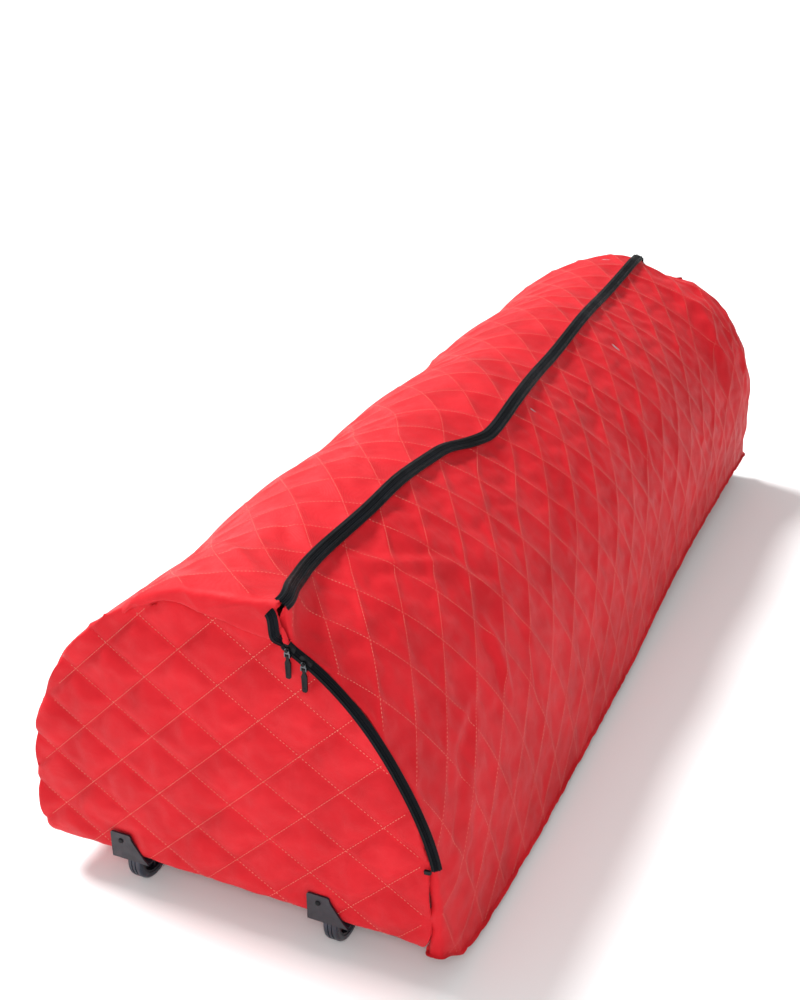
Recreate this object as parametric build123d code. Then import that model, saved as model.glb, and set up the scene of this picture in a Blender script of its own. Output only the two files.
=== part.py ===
"""Infrared sauna capsule blanket: a quilted tunnel on a wheeled base that a person lies in.

A steel base frame carries a board, a foam mattress and a heating film. A quilted left shell,
stiffened by spring ribs, is fixed to the frame. The right shell is a flap on hinges along the
right rail. One zip joins the two shells along the ridge, turns over the foot end's rim and runs
down that arch. The head end has an opening for the neck.

Units are millimetres. +Z is up, +Y points to the head end and +X to the flap's side. The origin
is on the floor, under the middle of the box that holds the whole object.
"""

from build123d import *
from math import asin, atan2, cos, degrees, radians, sin, sqrt
import os

# Driving dimensions of the whole
HALF_LENGTH = 1000.0  # outer faces of the two end panels
HALF_WIDTH = 350.0  # outer faces of the two shells
BASE_UNDERSIDE = 62.0  # height of the fabric under the base
SPRING_LINE = 165.0  # height where the straight legs become arcs
SIDE_RADIUS = 428.0  # outer radius of the two side arcs
TOP_RADIUS = 200.0  # outer radius of the arc over the ridge
SPLIT_X = 56.0  # where the ridge zip parts the two shells

# Wall of the shells, as depths below the outer face
COVER_DEPTH = 8.0
RIB_DEPTH = 15.0
HEATER_TOP, HEATER_BOTTOM = 22.0, 23.0
LINING_DEPTH = 26.0
RIB_DIAMETER = 8.0
RIB_PLACES = (-960.0, -500.0, -40.0, 420.0, 880.0)

# Base
SHEET = 3.0
RAIL_WIDTH, RAIL_HEIGHT, RAIL_WALL = 20.0, 40.0, 1.5
RAIL_OUTER = 320.0
CROSSBARS = (-860.0, -290.0, 290.0, 955.0)
BOARD = 6.0
BOARD_FOOT, BOARD_HEAD = -980.0, 970.0
MATTRESS_HALF_WIDTH, MATTRESS_HALF_LENGTH = 318.0, 974.0
FOAM, TOPPER = 38.0, 8.0

# End panels
PANEL = 15.0
PANEL_COVER = 10.0
PANEL_DEPTH = 8.5  # below the shells' outer face
PANEL_CORNER = 40.0
NECK_RADIUS, COLLAR = 95.0, 15.0
NECK_CENTRE = 280.0

# Zip
TAPE_WIDTH, TAPE = 14.7, 1.5
COIL_WIDTH, COIL = 3.0, 1.9
CHAIN_DEPTH = 8.25  # where the chain runs round the foot arch
ARCH_TAPE_DEPTH = 22.0
ZIP_END = 215.0  # height of the chain's lower end
SLIDERS = {"ridge": 59.5, "arch": 55.5}  # degrees above the horizontal, round the side arc's centre

# Wheels
WHEEL_X, WHEEL_Y = 176.0, -953.0
WHEEL_RADIUS, WHEEL_WIDTH = 45.0, 24.0
AXLE_RADIUS = 4.0
WHEEL_ROOM = 3.0  # between a tyre and its well
AXLE_END = 25.0  # room for its head and nut, either side of the wheel's middle
AXLE_SLOT = 9.0  # half the width of that room
BEARING_RADIUS, BEARING_WIDTH = 11.0, 7.0

# Hinges of the flap
HINGE_X, HINGE_Z = 325.0, 72.0
HINGE_PLACES = (-840.0, -300.0, 180.0, 700.0)
LEAF_TOP = 94.0
KNUCKLE, PIN = 4.0, 2.0

# Controller socket and wiring
SOCKET_X, SOCKET_Z = -230.0, 85.0
BARREL_RADIUS, BARREL_LENGTH = 8.0, 9.0

RUN = 0.05  # radial clearance of a turning fit
GAP = 0.3  # between faces that only lie against each other

RAIL_BOTTOM = BASE_UNDERSIDE + SHEET
RAIL_TOP = RAIL_BOTTOM + RAIL_HEIGHT
BOARD_TOP = RAIL_TOP + BOARD
FOAM_BOTTOM = BOARD_TOP + 1.5
FOAM_TOP = FOAM_BOTTOM + FOAM
TOPPER_TOP = FOAM_TOP + 1.0 + TOPPER
SIDE_CENTRE = SIDE_RADIUS - HALF_WIDTH  # the right arc's centre is this far left of the middle
TOP_CENTRE = SPRING_LINE + sqrt((SIDE_RADIUS - TOP_RADIUS) ** 2 - SIDE_CENTRE**2)
SIDE_END = degrees(atan2(TOP_CENTRE - SPRING_LINE, SIDE_CENTRE))  # where side arc meets top arc
SPLIT_TILT = degrees(asin(SPLIT_X / TOP_RADIUS))  # of the split from the vertical
FAR = 700.0  # past everything, for cutting


# ---------------------------------------------------------------- shared outlines, drawn in X and Z


def on_circle(cx, cz, radius, angle):
    return (cx + radius * cos(radians(angle)), cz + radius * sin(radians(angle)))


def arch(depth, bottom=BASE_UNDERSIDE):
    """The tunnel's cross section, taken in by depth, closed along a level bottom."""
    side, top, leg = SIDE_RADIUS - depth, TOP_RADIUS - depth, HALF_WIDTH - depth
    right = [on_circle(-SIDE_CENTRE, SPRING_LINE, side, a) for a in (0, SIDE_END / 2, SIDE_END)]
    left = [(-x, z) for x, z in reversed(right)]
    crown = (0, TOP_CENTRE + top)
    outline = Line((leg, bottom), right[0])
    outline += ThreePointArc(*right)
    outline += ThreePointArc(right[2], crown, left[0])
    outline += ThreePointArc(*left)
    outline += Line(left[2], (-leg, bottom))
    outline += Line((-leg, bottom), (leg, bottom))
    return make_face(outline)


def arch_band(outer, inner, bottom=BASE_UNDERSIDE):
    """The part of the cross section between two depths."""
    return arch(outer, bottom) - arch(inner, bottom - 5)


def beside_split(start, end, bottom=-FAR):
    """A strip beside the line that parts the shells, from start to end millimetres right of it.

    The line runs down the radius through the ridge zip to the top arc's centre, and then straight down.
    """
    reach = (FAR * sin(radians(SPLIT_TILT)), FAR * cos(radians(SPLIT_TILT)))
    line = [(0, bottom), (0, TOP_CENTRE), (reach[0], TOP_CENTRE + reach[1])]
    if bottom > TOP_CENTRE:
        low = (bottom - TOP_CENTRE) * reach[0] / reach[1]
        line = [(low, bottom), line[2]]
    near = [(x + start, z) for x, z in line]
    far = [(x + end, z) for x, z in reversed(line)]
    return make_face(Polyline(*near, *far, close=True))


def prism(sketch, low, high):
    """A sketch in X and Z, extruded along Y from low to high."""
    return Pos(0, high, 0) * extrude(Plane.XZ * sketch, high - low)


def box(x, y, z):
    """A box from its two limits along each axis."""
    size = [b - a for a, b in (x, y, z)]
    middle = [(a + b) / 2 for a, b in (x, y, z)]
    return Pos(*middle) * Box(*size)


def rod_x(x, y, z, radius):
    """A round bar along X between two places."""
    return Pos((x[0] + x[1]) / 2, y, z) * Rot(0, 90, 0) * Cylinder(radius, x[1] - x[0])


def rod_y(x, y, z, radius):
    return Pos(x, (y[0] + y[1]) / 2, z) * Rot(90, 0, 0) * Cylinder(radius, y[1] - y[0])


def rod_z(x, y, z, radius):
    return Pos(x, y, (z[0] + z[1]) / 2) * Cylinder(radius, z[1] - z[0])


def both_sides(make, *places):
    """One shape made at +x and at -x, as separate solids."""
    return [make(side * x) for x in places for side in (-1, 1)]


LEFT_REGION = beside_split(-FAR, -0.5)
FLAP_REGION = beside_split(0.5, FAR)
INNER_LAYERS = HALF_LENGTH - PANEL - 0.5  # the ribs, film and lining stop behind the end panels


# ---------------------------------------------------------------- base


def base_cover():
    """The quilted sheet under the frame, cut out round the wheel housings."""
    wide = RAIL_OUTER
    sheet = box((-wide, wide), (-HALF_LENGTH + PANEL, HALF_LENGTH - PANEL), (BASE_UNDERSIDE, RAIL_BOTTOM))
    for x in (-WHEEL_X, WHEEL_X):
        sheet -= box((x - WELL_HALF, x + WELL_HALF), (-HALF_LENGTH, HOUSING_BACK + 5), (0, FAR))
        sheet -= axle_room(x, x - AXLE_END, x + AXLE_END)
    return sheet


def axle_room(x, low, high):
    """What is cut away for an axle's head or nut."""
    return box((low, high), (WHEEL_Y - AXLE_SLOT, WHEEL_Y + AXLE_SLOT), (0, RAIL_TOP))


def square_tube(x, y, z, wall, along):
    """A rectangular tube, open at both ends along the named axis."""
    limits = {"x": x, "y": y, "z": z}
    inner = {k: (a + wall, b - wall) for k, (a, b) in limits.items()}
    inner[along] = (limits[along][0] - 1, limits[along][1] + 1)
    return box(x, y, z) - box(inner["x"], inner["y"], inner["z"])


def frame_rails():
    inner = RAIL_OUTER - RAIL_WIDTH
    height = (RAIL_BOTTOM, RAIL_TOP)
    left = square_tube((-RAIL_OUTER, -inner), (-980, 980), height, RAIL_WALL, "y")
    right = square_tube((inner, RAIL_OUTER), (-980, 980), height, RAIL_WALL, "y")
    left -= rod_x((-RAIL_OUTER - 1, -inner + 1), LEAD_Y, SOCKET_Z, 4)
    right -= rod_x((inner - 1, RAIL_OUTER + 1), LEAD_Y, SOCKET_Z, 4)
    return [left, right]


def frame_crossbars():
    inner = RAIL_OUTER - RAIL_WIDTH
    bars = []
    for y in CROSSBARS:
        limits = (y - RAIL_WIDTH / 2, y + RAIL_WIDTH / 2)
        bar = square_tube((-inner, inner), limits, (RAIL_BOTTOM, RAIL_TOP), RAIL_WALL, "x")
        if y == CROSSBARS[-1]:
            bar -= rod_y(SOCKET_X, (y - 20, y + 20), SOCKET_Z, 4)
        bars.append(bar)
    return bars


def base_board():
    board = box((-RAIL_OUTER, RAIL_OUTER), (BOARD_FOOT, BOARD_HEAD), (RAIL_TOP, BOARD_TOP))
    for x, y in housing_rivet_places():
        board -= rod_z(x, y, (RAIL_TOP - 1, BOARD_TOP + 1), RIVET_RADIUS + 0.1)
    board -= rod_z(LEAD_UP_X, LEAD_UP_Y, (RAIL_TOP - 1, BOARD_TOP + 1), 4)
    return board


def padded_slab(bottom, top, edge):
    half_x, half_y = MATTRESS_HALF_WIDTH, MATTRESS_HALF_LENGTH
    slab = box((-half_x, half_x), (-half_y, half_y), (bottom, top))
    slab = fillet(slab.edges().filter_by(Axis.Z), 25)
    return fillet(slab.faces().sort_by(Axis.Z)[-1].edges(), edge)


def mattress_foam():
    foam = padded_slab(FOAM_BOTTOM, FOAM_TOP, 3)
    return foam - rod_z(LEAD_UP_X, LEAD_UP_Y, (FOAM_BOTTOM - 1, FOAM_TOP + 1), 4)


def heater_base():
    return box((-280, 280), (-900, 900), (FOAM_TOP + GAP / 2, FOAM_TOP + 1 - GAP / 2))


def mattress_topper():
    return padded_slab(FOAM_TOP + 1, TOPPER_TOP, 5)


# ---------------------------------------------------------------- shells, ribs and linings


def shell_layer(outer, inner, region, bottom, half_length):
    return prism(arch_band(outer, inner, bottom) & region, -half_length, half_length)


def above(z):
    return make_face(Polyline((-FAR, z), (FAR, z), (FAR, FAR), (-FAR, FAR), close=True))


def shell_cover(region):
    return shell_layer(0, COVER_DEPTH, region, BASE_UNDERSIDE, HALF_LENGTH)


def shell_lining(region):
    return shell_layer(HEATER_BOTTOM + GAP, LINING_DEPTH, region, BOARD_TOP + 1, INNER_LAYERS)


def shell_heater(shift):
    """A carbon film against the lining, short of the split and of the base."""
    side = beside_split(-FAR, shift) if shift < 0 else beside_split(shift, FAR)
    region = side & above(SPRING_LINE + 10)
    return shell_layer(HEATER_TOP, HEATER_BOTTOM, region, BASE_UNDERSIDE, 930)


def rib_path(side, start, stop_angle):
    """A rib's centre line in X and Z, from its foot up over the arch.

    side is 1 for the flap and -1 for the left.
    """
    radius, top = SIDE_RADIUS - RIB_DEPTH, TOP_RADIUS - RIB_DEPTH
    leg = HALF_WIDTH - RIB_DEPTH
    arc = [on_circle(-SIDE_CENTRE, SPRING_LINE, radius, a) for a in (0, SIDE_END / 2, SIDE_END)]
    if side > 0:  # the flap's rib ends on the top arc, right of the split
        middle = (SIDE_END + stop_angle) / 2
        crown = [on_circle(0, TOP_CENTRE, top, a) for a in (SIDE_END, middle, stop_angle)]
    else:
        arc = [(-x, z) for x, z in arc]
        middle = (180 - SIDE_END + stop_angle) / 2
        crown = [on_circle(0, TOP_CENTRE, top, a) for a in (180 - SIDE_END, middle, stop_angle)]
    path = Line((side * leg, start), arc[0])
    path += ThreePointArc(*arc)
    path += ThreePointArc(*crown)
    return path


def rib(side, y, start, stop_angle):
    path = Pos(0, y, 0) * (Plane.XZ * rib_path(side, start, stop_angle))
    foot = Plane((side * (HALF_WIDTH - RIB_DEPTH), y, start), z_dir=(0, 0, 1))
    return sweep(foot * Circle(RIB_DIAMETER / 2), path=path)


SOCKET_TOP = 102.0
SOCKET_FLOOR = 74.0


def ribs_left():
    return [rib(-1, y, SOCKET_FLOOR + GAP, 90 - SPLIT_TILT + 3) for y in RIB_PLACES]


def rib_sockets():
    """Blocks on the left rail that the ribs stand in."""
    x = -(HALF_WIDTH - RIB_DEPTH)
    blocks = []
    for y in RIB_PLACES:
        across = (-HALF_WIDTH + COVER_DEPTH + 0.5, -RAIL_OUTER)
        block = box(across, (y - 12, y + 12), (SOCKET_FLOOR - 6, SOCKET_TOP))
        block -= rod_z(x, y, (SOCKET_FLOOR, SOCKET_TOP + 1), RIB_DIAMETER / 2 + 0.1)
        blocks.append(block)
    return blocks


FLAP_RAIL_X, FLAP_RAIL_Z = (329.0, 341.0), (82.0, 94.0)


def flap_rail():
    return square_tube(FLAP_RAIL_X, (-975, 975), FLAP_RAIL_Z, RAIL_WALL, "y")


def ribs_flap():
    return [rib(1, y, FLAP_RAIL_Z[1], 90 - SPLIT_TILT - 3) for y in RIB_PLACES]


# ---------------------------------------------------------------- end panels


def foot_panel(front, back):
    """A layer of the foot panel, round at its lower corners, with rivet holes and room for the wheels."""
    outline = arch(PANEL_DEPTH)
    outline = fillet(outline.vertices().group_by(Axis.Y)[0], PANEL_CORNER)
    panel = prism(outline, front, back)
    for x in (-WHEEL_X, WHEEL_X):
        panel -= rod_y(x + RIVET_X, (front - 1, back + 1), RIVET_Z, RIVET_RADIUS + 0.1)
        panel -= wheel_room(x)
    return panel


def foot_panel_cover():
    return foot_panel(-HALF_LENGTH, -HALF_LENGTH + PANEL_COVER)


def foot_panel_board():
    """The stiffener behind the foot panel's quilted cover."""
    return foot_panel(-HALF_LENGTH + PANEL_COVER, -HALF_LENGTH + PANEL - GAP)


def neck_outline(radius):
    low = TOPPER_TOP + 0.7
    outline = Line((-radius, low), (-radius, NECK_CENTRE))
    outline += ThreePointArc((-radius, NECK_CENTRE), (0, NECK_CENTRE + radius), (radius, NECK_CENTRE))
    outline += Line((radius, NECK_CENTRE), (radius, low))
    outline += Line((radius, low), (-radius, low))
    return make_face(outline)


def head_panel(region):
    """One half of the panel round the neck opening, above the mattress."""
    outline = (arch(PANEL_DEPTH) & region & above(TOPPER_TOP + 0.7)) - neck_outline(NECK_RADIUS)
    return prism(outline, HALF_LENGTH - PANEL, HALF_LENGTH)


def head_base_panel():
    """The end of the base below the neck opening, with a hole for the controller socket."""
    end = box((-RAIL_OUTER, RAIL_OUTER), (HALF_LENGTH - PANEL, HALF_LENGTH), (BASE_UNDERSIDE, TOPPER_TOP))
    return end - rod_y(SOCKET_X, (HALF_LENGTH - 20, HALF_LENGTH + 1), SOCKET_Z, BARREL_RADIUS)


def neck_collar(region):
    band = (neck_outline(NECK_RADIUS - GAP) - neck_outline(NECK_RADIUS - COLLAR)) & region
    return prism(band, HALF_LENGTH - PANEL - 10, HALF_LENGTH + 10)


# ---------------------------------------------------------------- zip


def flat_strip(outer, inner, start, end, bottom=ZIP_END):
    """A strip of the end face between two depths, beside the split line."""
    return arch_band(outer, inner) & beside_split(start, end) & above(bottom)


def zip_side(start, end, lift, thick, arch_depths):
    """One side of the zip: along the ridge, down the head panel, and round the foot arch.

    start and end are the strip's limits beside the split, lift its height off the fabric, and arch_depths
    its limits round the foot arch.
    """
    outer, inner = -lift - thick, -lift
    face = HALF_LENGTH + lift
    neck_top = NECK_CENTRE + NECK_RADIUS + 5
    ridge = prism(flat_strip(outer, inner, start, end, TOP_CENTRE), -face - thick, face + thick)
    head = prism(flat_strip(outer, 300, start, end, neck_top), face, face + thick)
    corner = flat_strip(outer, arch_depths[1], start, end, TOP_CENTRE)
    arc = flat_strip(*arch_depths, start, FAR)
    foot = prism(corner + arc, -face - thick, -face)
    return ridge + head + foot


def zip_tape_fixed():
    return zip_side(-TAPE_WIDTH, -GAP, GAP, TAPE, (PANEL_DEPTH + 0.1, ARCH_TAPE_DEPTH))


def zip_tape_flap():
    """The flap's tape, which also folds round the rim on to the side of the cover."""
    tape = zip_side(GAP, TAPE_WIDTH, GAP, TAPE, (-GAP - TAPE, COVER_DEPTH - 0.1))
    fold = flat_strip(-GAP - TAPE, -GAP, GAP, FAR)
    return tape + prism(fold, -HALF_LENGTH - GAP - TAPE, -HALF_LENGTH + 12)


COIL_LIFT = GAP + TAPE + 0.1


def zip_coil_fixed():
    depths = (CHAIN_DEPTH + 0.2, CHAIN_DEPTH + COIL_WIDTH)
    return zip_side(-COIL_WIDTH - 0.2, -0.2, COIL_LIFT, COIL, depths)


def zip_coil_flap():
    depths = (CHAIN_DEPTH - COIL_WIDTH, CHAIN_DEPTH - 0.2)
    return zip_side(0.2, COIL_WIDTH + 0.2, COIL_LIFT, COIL, depths)


CHAIN_RADIUS = SIDE_RADIUS - CHAIN_DEPTH


def at_chain(angle, shape):
    """Moves a shape drawn at the origin, with +X outward, to the foot arch's chain, at its slope."""
    x, z = on_circle(-SIDE_CENTRE, SPRING_LINE, CHAIN_RADIUS, angle)
    return Pos(x, 0, z) * Rot(0, -angle, 0) * shape


def zip_bottom_stop():
    angle = degrees(asin((ZIP_END - SPRING_LINE) / CHAIN_RADIUS)) - 0.6
    block = box((-5, 5), (-HALF_LENGTH - 4.5, -HALF_LENGTH - GAP), (-3, 3))
    return at_chain(angle, block)


SLIDER_BACK = -HALF_LENGTH - GAP - TAPE - GAP
SLIDER_PLATE = -HALF_LENGTH - COIL_LIFT - COIL - 0.4
SLIDER_FRONT = SLIDER_PLATE - 3.0
POST_FRONT = SLIDER_FRONT - 4.7


def slider(angle):
    """A zip slider: a plate over the chain, two side walls, and a post that the pull turns on."""
    plate = box((-7, 7), (SLIDER_FRONT, SLIDER_PLATE), (-10, 10))
    plate = fillet(plate.edges().filter_by(Axis.Y), 3)
    walls = box((-7, -4.6), (SLIDER_FRONT, SLIDER_BACK), (-7, 7))
    walls += box((4.6, 7), (SLIDER_FRONT, SLIDER_BACK), (-7, 7))
    post = rod_y(0, (POST_FRONT, SLIDER_FRONT), 0, 1.5) + rod_y(0, (POST_FRONT - 1.5, POST_FRONT), 0, 2.6)
    return at_chain(angle, plate + walls + post)


PULL_DROP = 9.0  # from the post to the cross pin
SHACKLE_BACK, SHACKLE_FRONT = SLIDER_FRONT - 0.3, POST_FRONT + 0.3
PIN_Y = (SHACKLE_BACK + SHACKLE_FRONT) / 2


def slider_place(angle):
    return on_circle(-SIDE_CENTRE, SPRING_LINE, CHAIN_RADIUS, angle)


def pull_shackle(angle):
    """The link that swings on the slider's post and carries a cross pin for the tab."""
    x, z = slider_place(angle)
    eye = rod_y(0, (SHACKLE_FRONT, SHACKLE_BACK), 0, 3.6)
    plate = box((-3.6, 3.6), (SHACKLE_FRONT, SHACKLE_BACK), (-5.6, 0))
    ears = box((-4.6, -3.0), (SHACKLE_FRONT, SHACKLE_BACK), (-PULL_DROP - 2, -3.6))
    ears += box((3.0, 4.6), (SHACKLE_FRONT, SHACKLE_BACK), (-PULL_DROP - 2, -3.6))
    pin = rod_x((-4, 4), PIN_Y, -PULL_DROP, 1.0)
    shackle = eye + plate + ears + pin - rod_y(0, (SHACKLE_FRONT - 1, SHACKLE_BACK + 1), 0, 1.5 + RUN)
    return Pos(x, 0, z) * shackle


def pull_tab(angle):
    """A tapered tab that lifts on the shackle's cross pin."""
    x, z = slider_place(angle)
    half = 1.25
    right = [(2.4, 0), (2.4, -6), (4.5, -11), (3.8, -36)]
    left = [(-across, down) for across, down in reversed(right)]
    body = Plane.XZ * make_face(Polyline(*right, *left, close=True))
    tab = Pos(0, half, 0) * extrude(body, 2 * half)
    tab = fillet(tab.edges().filter_by(Axis.Y).group_by(Axis.Z)[0], 2.5)
    tab += rod_x((-2.4, 2.4), 0, 0, 2.2)
    tab -= rod_x((-3, 3), 0, 0, 1.0 + RUN)
    tab -= box((-2, 2), (-2, -half + 0.4), (-30, -14))
    return Pos(x, PIN_Y, z - PULL_DROP) * tab


# ---------------------------------------------------------------- wheels at the foot end


def wheel_tyre(x):
    """A hard rubber tread with two grooves, round the hub's rim."""
    half = WHEEL_WIDTH / 2
    tyre = rod_x((-half, half), 0, 0, WHEEL_RADIUS)
    tyre = fillet(tyre.edges(), 4)
    tyre -= rod_x((-half - 1, half + 1), 0, 0, WHEEL_RADIUS - 9)
    for groove in (-3.2, 3.2):
        ring = rod_x((groove - 1, groove + 1), 0, 0, WHEEL_RADIUS + 1)
        tyre -= ring - rod_x((groove - 2, groove + 2), 0, 0, WHEEL_RADIUS - 1.4)
    return Pos(x, WHEEL_Y, WHEEL_RADIUS) * tyre


def wheel_hub(x):
    """A spoked plastic hub with a seat for a bearing in each face."""
    rim = WHEEL_RADIUS - 9 - 0.02
    half = WHEEL_WIDTH / 2
    hub = rod_x((-half + 1, half - 1), 0, 0, rim) - rod_x((-half, half), 0, 0, rim - 4)
    hub += rod_x((-half + 1, half - 1), 0, 0, BEARING_RADIUS + 3.5)
    hub += rod_x((-2, 2), 0, 0, rim - 3)
    for spoke in range(6):
        arm = box((-8, 8), (-2, 2), (BEARING_RADIUS + 2, rim - 2))
        hub += Rot(60 * spoke, 0, 0) * arm
    hub -= rod_x((-half, half), 0, 0, 6)
    seat = half - BEARING_WIDTH - 1.1
    for limits in ((-half, -seat), (seat, half)):
        hub -= rod_x(limits, 0, 0, BEARING_RADIUS + 0.02)
    return Pos(x, WHEEL_Y, WHEEL_RADIUS) * hub


def wheel_bearings(x):
    """Two ball bearings, each drawn as one ring with a groove between its races."""
    rings = []
    for side in (-1, 1):
        inner = side * (WHEEL_WIDTH / 2 - BEARING_WIDTH - 1.0)
        outer = inner + side * BEARING_WIDTH
        limits = (min(inner, outer), max(inner, outer))
        ring = rod_x(limits, 0, 0, BEARING_RADIUS)
        ring -= rod_x((limits[0] - 1, limits[1] + 1), 0, 0, AXLE_RADIUS + RUN)
        face = (outer - 0.6, outer + 1) if side > 0 else (outer - 1, outer + 0.6)
        ring -= rod_x(face, 0, 0, 9.2) - rod_x(face, 0, 0, 6)
        rings.append(Pos(x, WHEEL_Y, WHEEL_RADIUS) * ring)
    return rings


EAR = (WHEEL_WIDTH / 2 + 2.5, WHEEL_WIDTH / 2 + 5.5)  # inner and outer faces of a housing's side plates
HOUSING_TOP = RAIL_TOP - GAP
HOUSING_FRONT = -HALF_LENGTH + PANEL + GAP
HOUSING_BACK = WHEEL_Y + WHEEL_RADIUS + 6
FLANGE_FRONT = -HALF_LENGTH - 3.5
LIP_BOTTOM, LIP_TOP = BASE_UNDERSIDE - GAP - 3, BASE_UNDERSIDE - GAP
LIP_HALF = 34.0
RIVET_X, RIVET_Z, RIVET_RADIUS = -15.0, 93.0, 2.0  # its X is from the wheel's middle
FLANGE_LEFT, FLANGE_TOP = 34.0, 107.0
WELL_HALF = EAR[1] + 1.5  # half the width of the hole in the base cover


def wheel_room(x):
    """What is cut away for a wheel between its side plates."""
    across = (x - EAR[0], x + EAR[0])
    return rod_x(across, WHEEL_Y, WHEEL_RADIUS, WHEEL_RADIUS + WHEEL_ROOM)


def housing_side(inner, outer):
    """A side plate with an ear that hangs down round the axle."""
    plate = box((inner, outer), (HOUSING_FRONT, HOUSING_BACK), (LIP_BOTTOM, HOUSING_TOP))
    half = [(26, LIP_BOTTOM + 1), (14, WHEEL_RADIUS - 7)]
    ear = [(WHEEL_Y - dy, z) for dy, z in half] + [(WHEEL_Y + dy, z) for dy, z in reversed(half)]
    plate += Pos(inner, 0, 0) * extrude(Plane.YZ * make_face(Polyline(*ear, close=True)), outer - inner)
    return plate + rod_x((inner, outer), WHEEL_Y, WHEEL_RADIUS, 15)


def wheel_housing(x):
    """A moulded wheel well with side plates, a lip under the base and a flange on the foot panel."""
    inner, outer = EAR
    housing = housing_side(inner, outer) + housing_side(-outer, -inner)
    housing += box((-outer, outer), (HOUSING_FRONT, HOUSING_BACK), (HOUSING_TOP - 2.7, HOUSING_TOP))
    housing += box((-outer, outer), (HOUSING_FRONT, HOUSING_FRONT + 3), (LIP_BOTTOM, HOUSING_TOP))
    housing += box((-outer, outer), (HOUSING_BACK - 3, HOUSING_BACK), (LIP_BOTTOM, HOUSING_TOP))
    housing -= wheel_room(0)
    lip = box((-LIP_HALF, LIP_HALF), (-HALF_LENGTH - 0.5, HOUSING_BACK + 13), (LIP_BOTTOM, LIP_TOP))
    lip = fillet(lip.edges().filter_by(Axis.Z).group_by(Axis.Y)[-1], 10)
    lip -= box((-inner, inner), (-HALF_LENGTH - 1, HOUSING_BACK - 3), (0, RAIL_TOP))
    for limits in ((-AXLE_END, -outer), (outer, AXLE_END)):
        lip -= axle_room(0, *limits)
    housing += lip
    flange = [(-FLANGE_LEFT, FLANGE_TOP), (-FLANGE_LEFT, LIP_BOTTOM), (LIP_HALF, LIP_BOTTOM)]
    flange += [(24, FLANGE_TOP - 37), (13, FLANGE_TOP - 21), (5, FLANGE_TOP - 9), (3, FLANGE_TOP)]
    plate = prism(make_face(Polyline(*flange, close=True)), FLANGE_FRONT, -HALF_LENGTH - GAP)
    plate = fillet(plate.edges().filter_by(Axis.Y).group_by(Axis.Z)[-1], 4)
    housing += plate
    housing -= rod_x((-outer - 1, outer + 1), WHEEL_Y, WHEEL_RADIUS, AXLE_RADIUS + RUN)
    housing -= rod_y(RIVET_X, (FLANGE_FRONT - 1, -HALF_LENGTH), RIVET_Z, RIVET_RADIUS + 0.1)
    for dx, dy in HOUSING_RIVETS:
        housing -= rod_z(dx, WHEEL_Y + dy, (HOUSING_TOP - 4, HOUSING_TOP + 1), RIVET_RADIUS + 0.1)
    return Pos(x, 0, 0) * housing


HOUSING_RIVETS = [(dx, dy) for dx in (-8, 8) for dy in (-20, 40)]


def housing_rivet_places():
    return [(side * WHEEL_X + dx, WHEEL_Y + dy) for side in (-1, 1) for dx, dy in HOUSING_RIVETS]


def housing_rivets():
    """Flat-headed rivets that hold the housings up against the board."""
    rivets = []
    for x, y in housing_rivet_places():
        rivet = rod_z(x, y, (HOUSING_TOP - 3.9, BOARD_TOP + 1.1), RIVET_RADIUS)
        rivet += rod_z(x, y, (BOARD_TOP, BOARD_TOP + 1.1), 4)
        rivet += rod_z(x, y, (HOUSING_TOP - 3.9, HOUSING_TOP - 2.7), 3.5)
        rivets.append(rivet)
    return rivets


def flange_rivets():
    """One domed rivet through each housing's flange, into the foot panel."""

    def rivet(wheel_x):
        x = wheel_x + RIVET_X
        dome = rod_y(x, (FLANGE_FRONT - 2.2, FLANGE_FRONT), RIVET_Z, 4.5)
        dome = fillet(dome.edges().group_by(Axis.Y)[0], 1.9)
        return dome + rod_y(x, (FLANGE_FRONT, -HALF_LENGTH + PANEL - 0.5), RIVET_Z, RIVET_RADIUS)

    return both_sides(rivet, WHEEL_X)


def wheel_axle(x):
    """A bolt with a round head and a nut, through both ears."""
    outer = EAR[1]
    axle = rod_x((-outer - 5, outer + 6), 0, 0, AXLE_RADIUS)
    axle += rod_x((-outer - 5, -outer - GAP), 0, 0, 7)
    nut = Rot(0, 90, 0) * extrude(RegularPolygon(7.5, 6), 5.5)
    axle += Pos(outer + GAP, 0, 0) * nut
    return Pos(x, WHEEL_Y, WHEEL_RADIUS) * axle


# ---------------------------------------------------------------- rests and handle at the head end

REST_X, REST_Y = 250.0, 955.0
PAD = 6.0


def rest_feet():
    """Two moulded blocks that hold the head end level with the wheels."""

    def foot(x):
        low = Plane.XY.offset(PAD) * RectangleRounded(56, 34, 8)
        high = Plane.XY.offset(BASE_UNDERSIDE) * RectangleRounded(72, 46, 8)
        return Pos(x, REST_Y, 0) * loft([low, high])

    return both_sides(foot, REST_X)


def rest_pads():
    """Rubber soles on the rest feet."""

    def pad(x):
        sole = extrude(RectangleRounded(52, 30, 7), PAD)
        return Pos(x, REST_Y, 0) * sole

    return both_sides(pad, REST_X)


HANDLE_HALF, HANDLE_Z, WEB, WEB_WIDTH = 80.0, 120.0, 2.4, 30.0
HANDLE_OUT = 15.0


def carry_handle():
    """A webbing loop on the head end, flat where it is riveted and bowed out between."""
    face = HALF_LENGTH + GAP
    half = [(HANDLE_HALF, face), (52, face), (34, face + HANDLE_OUT)]
    back = half + [(-x, y) for x, y in reversed(half)]
    front = [(x, y + WEB) for x, y in reversed(back)]
    strap = extrude(make_face(Polyline(*back, *front, close=True)), WEB_WIDTH)
    strap = Pos(0, 0, HANDLE_Z - WEB_WIDTH / 2) * strap
    for x in (-66, 66):
        strap -= rod_y(x, (face - 1, face + WEB + 1), HANDLE_Z, 2.6)
    return strap


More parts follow.
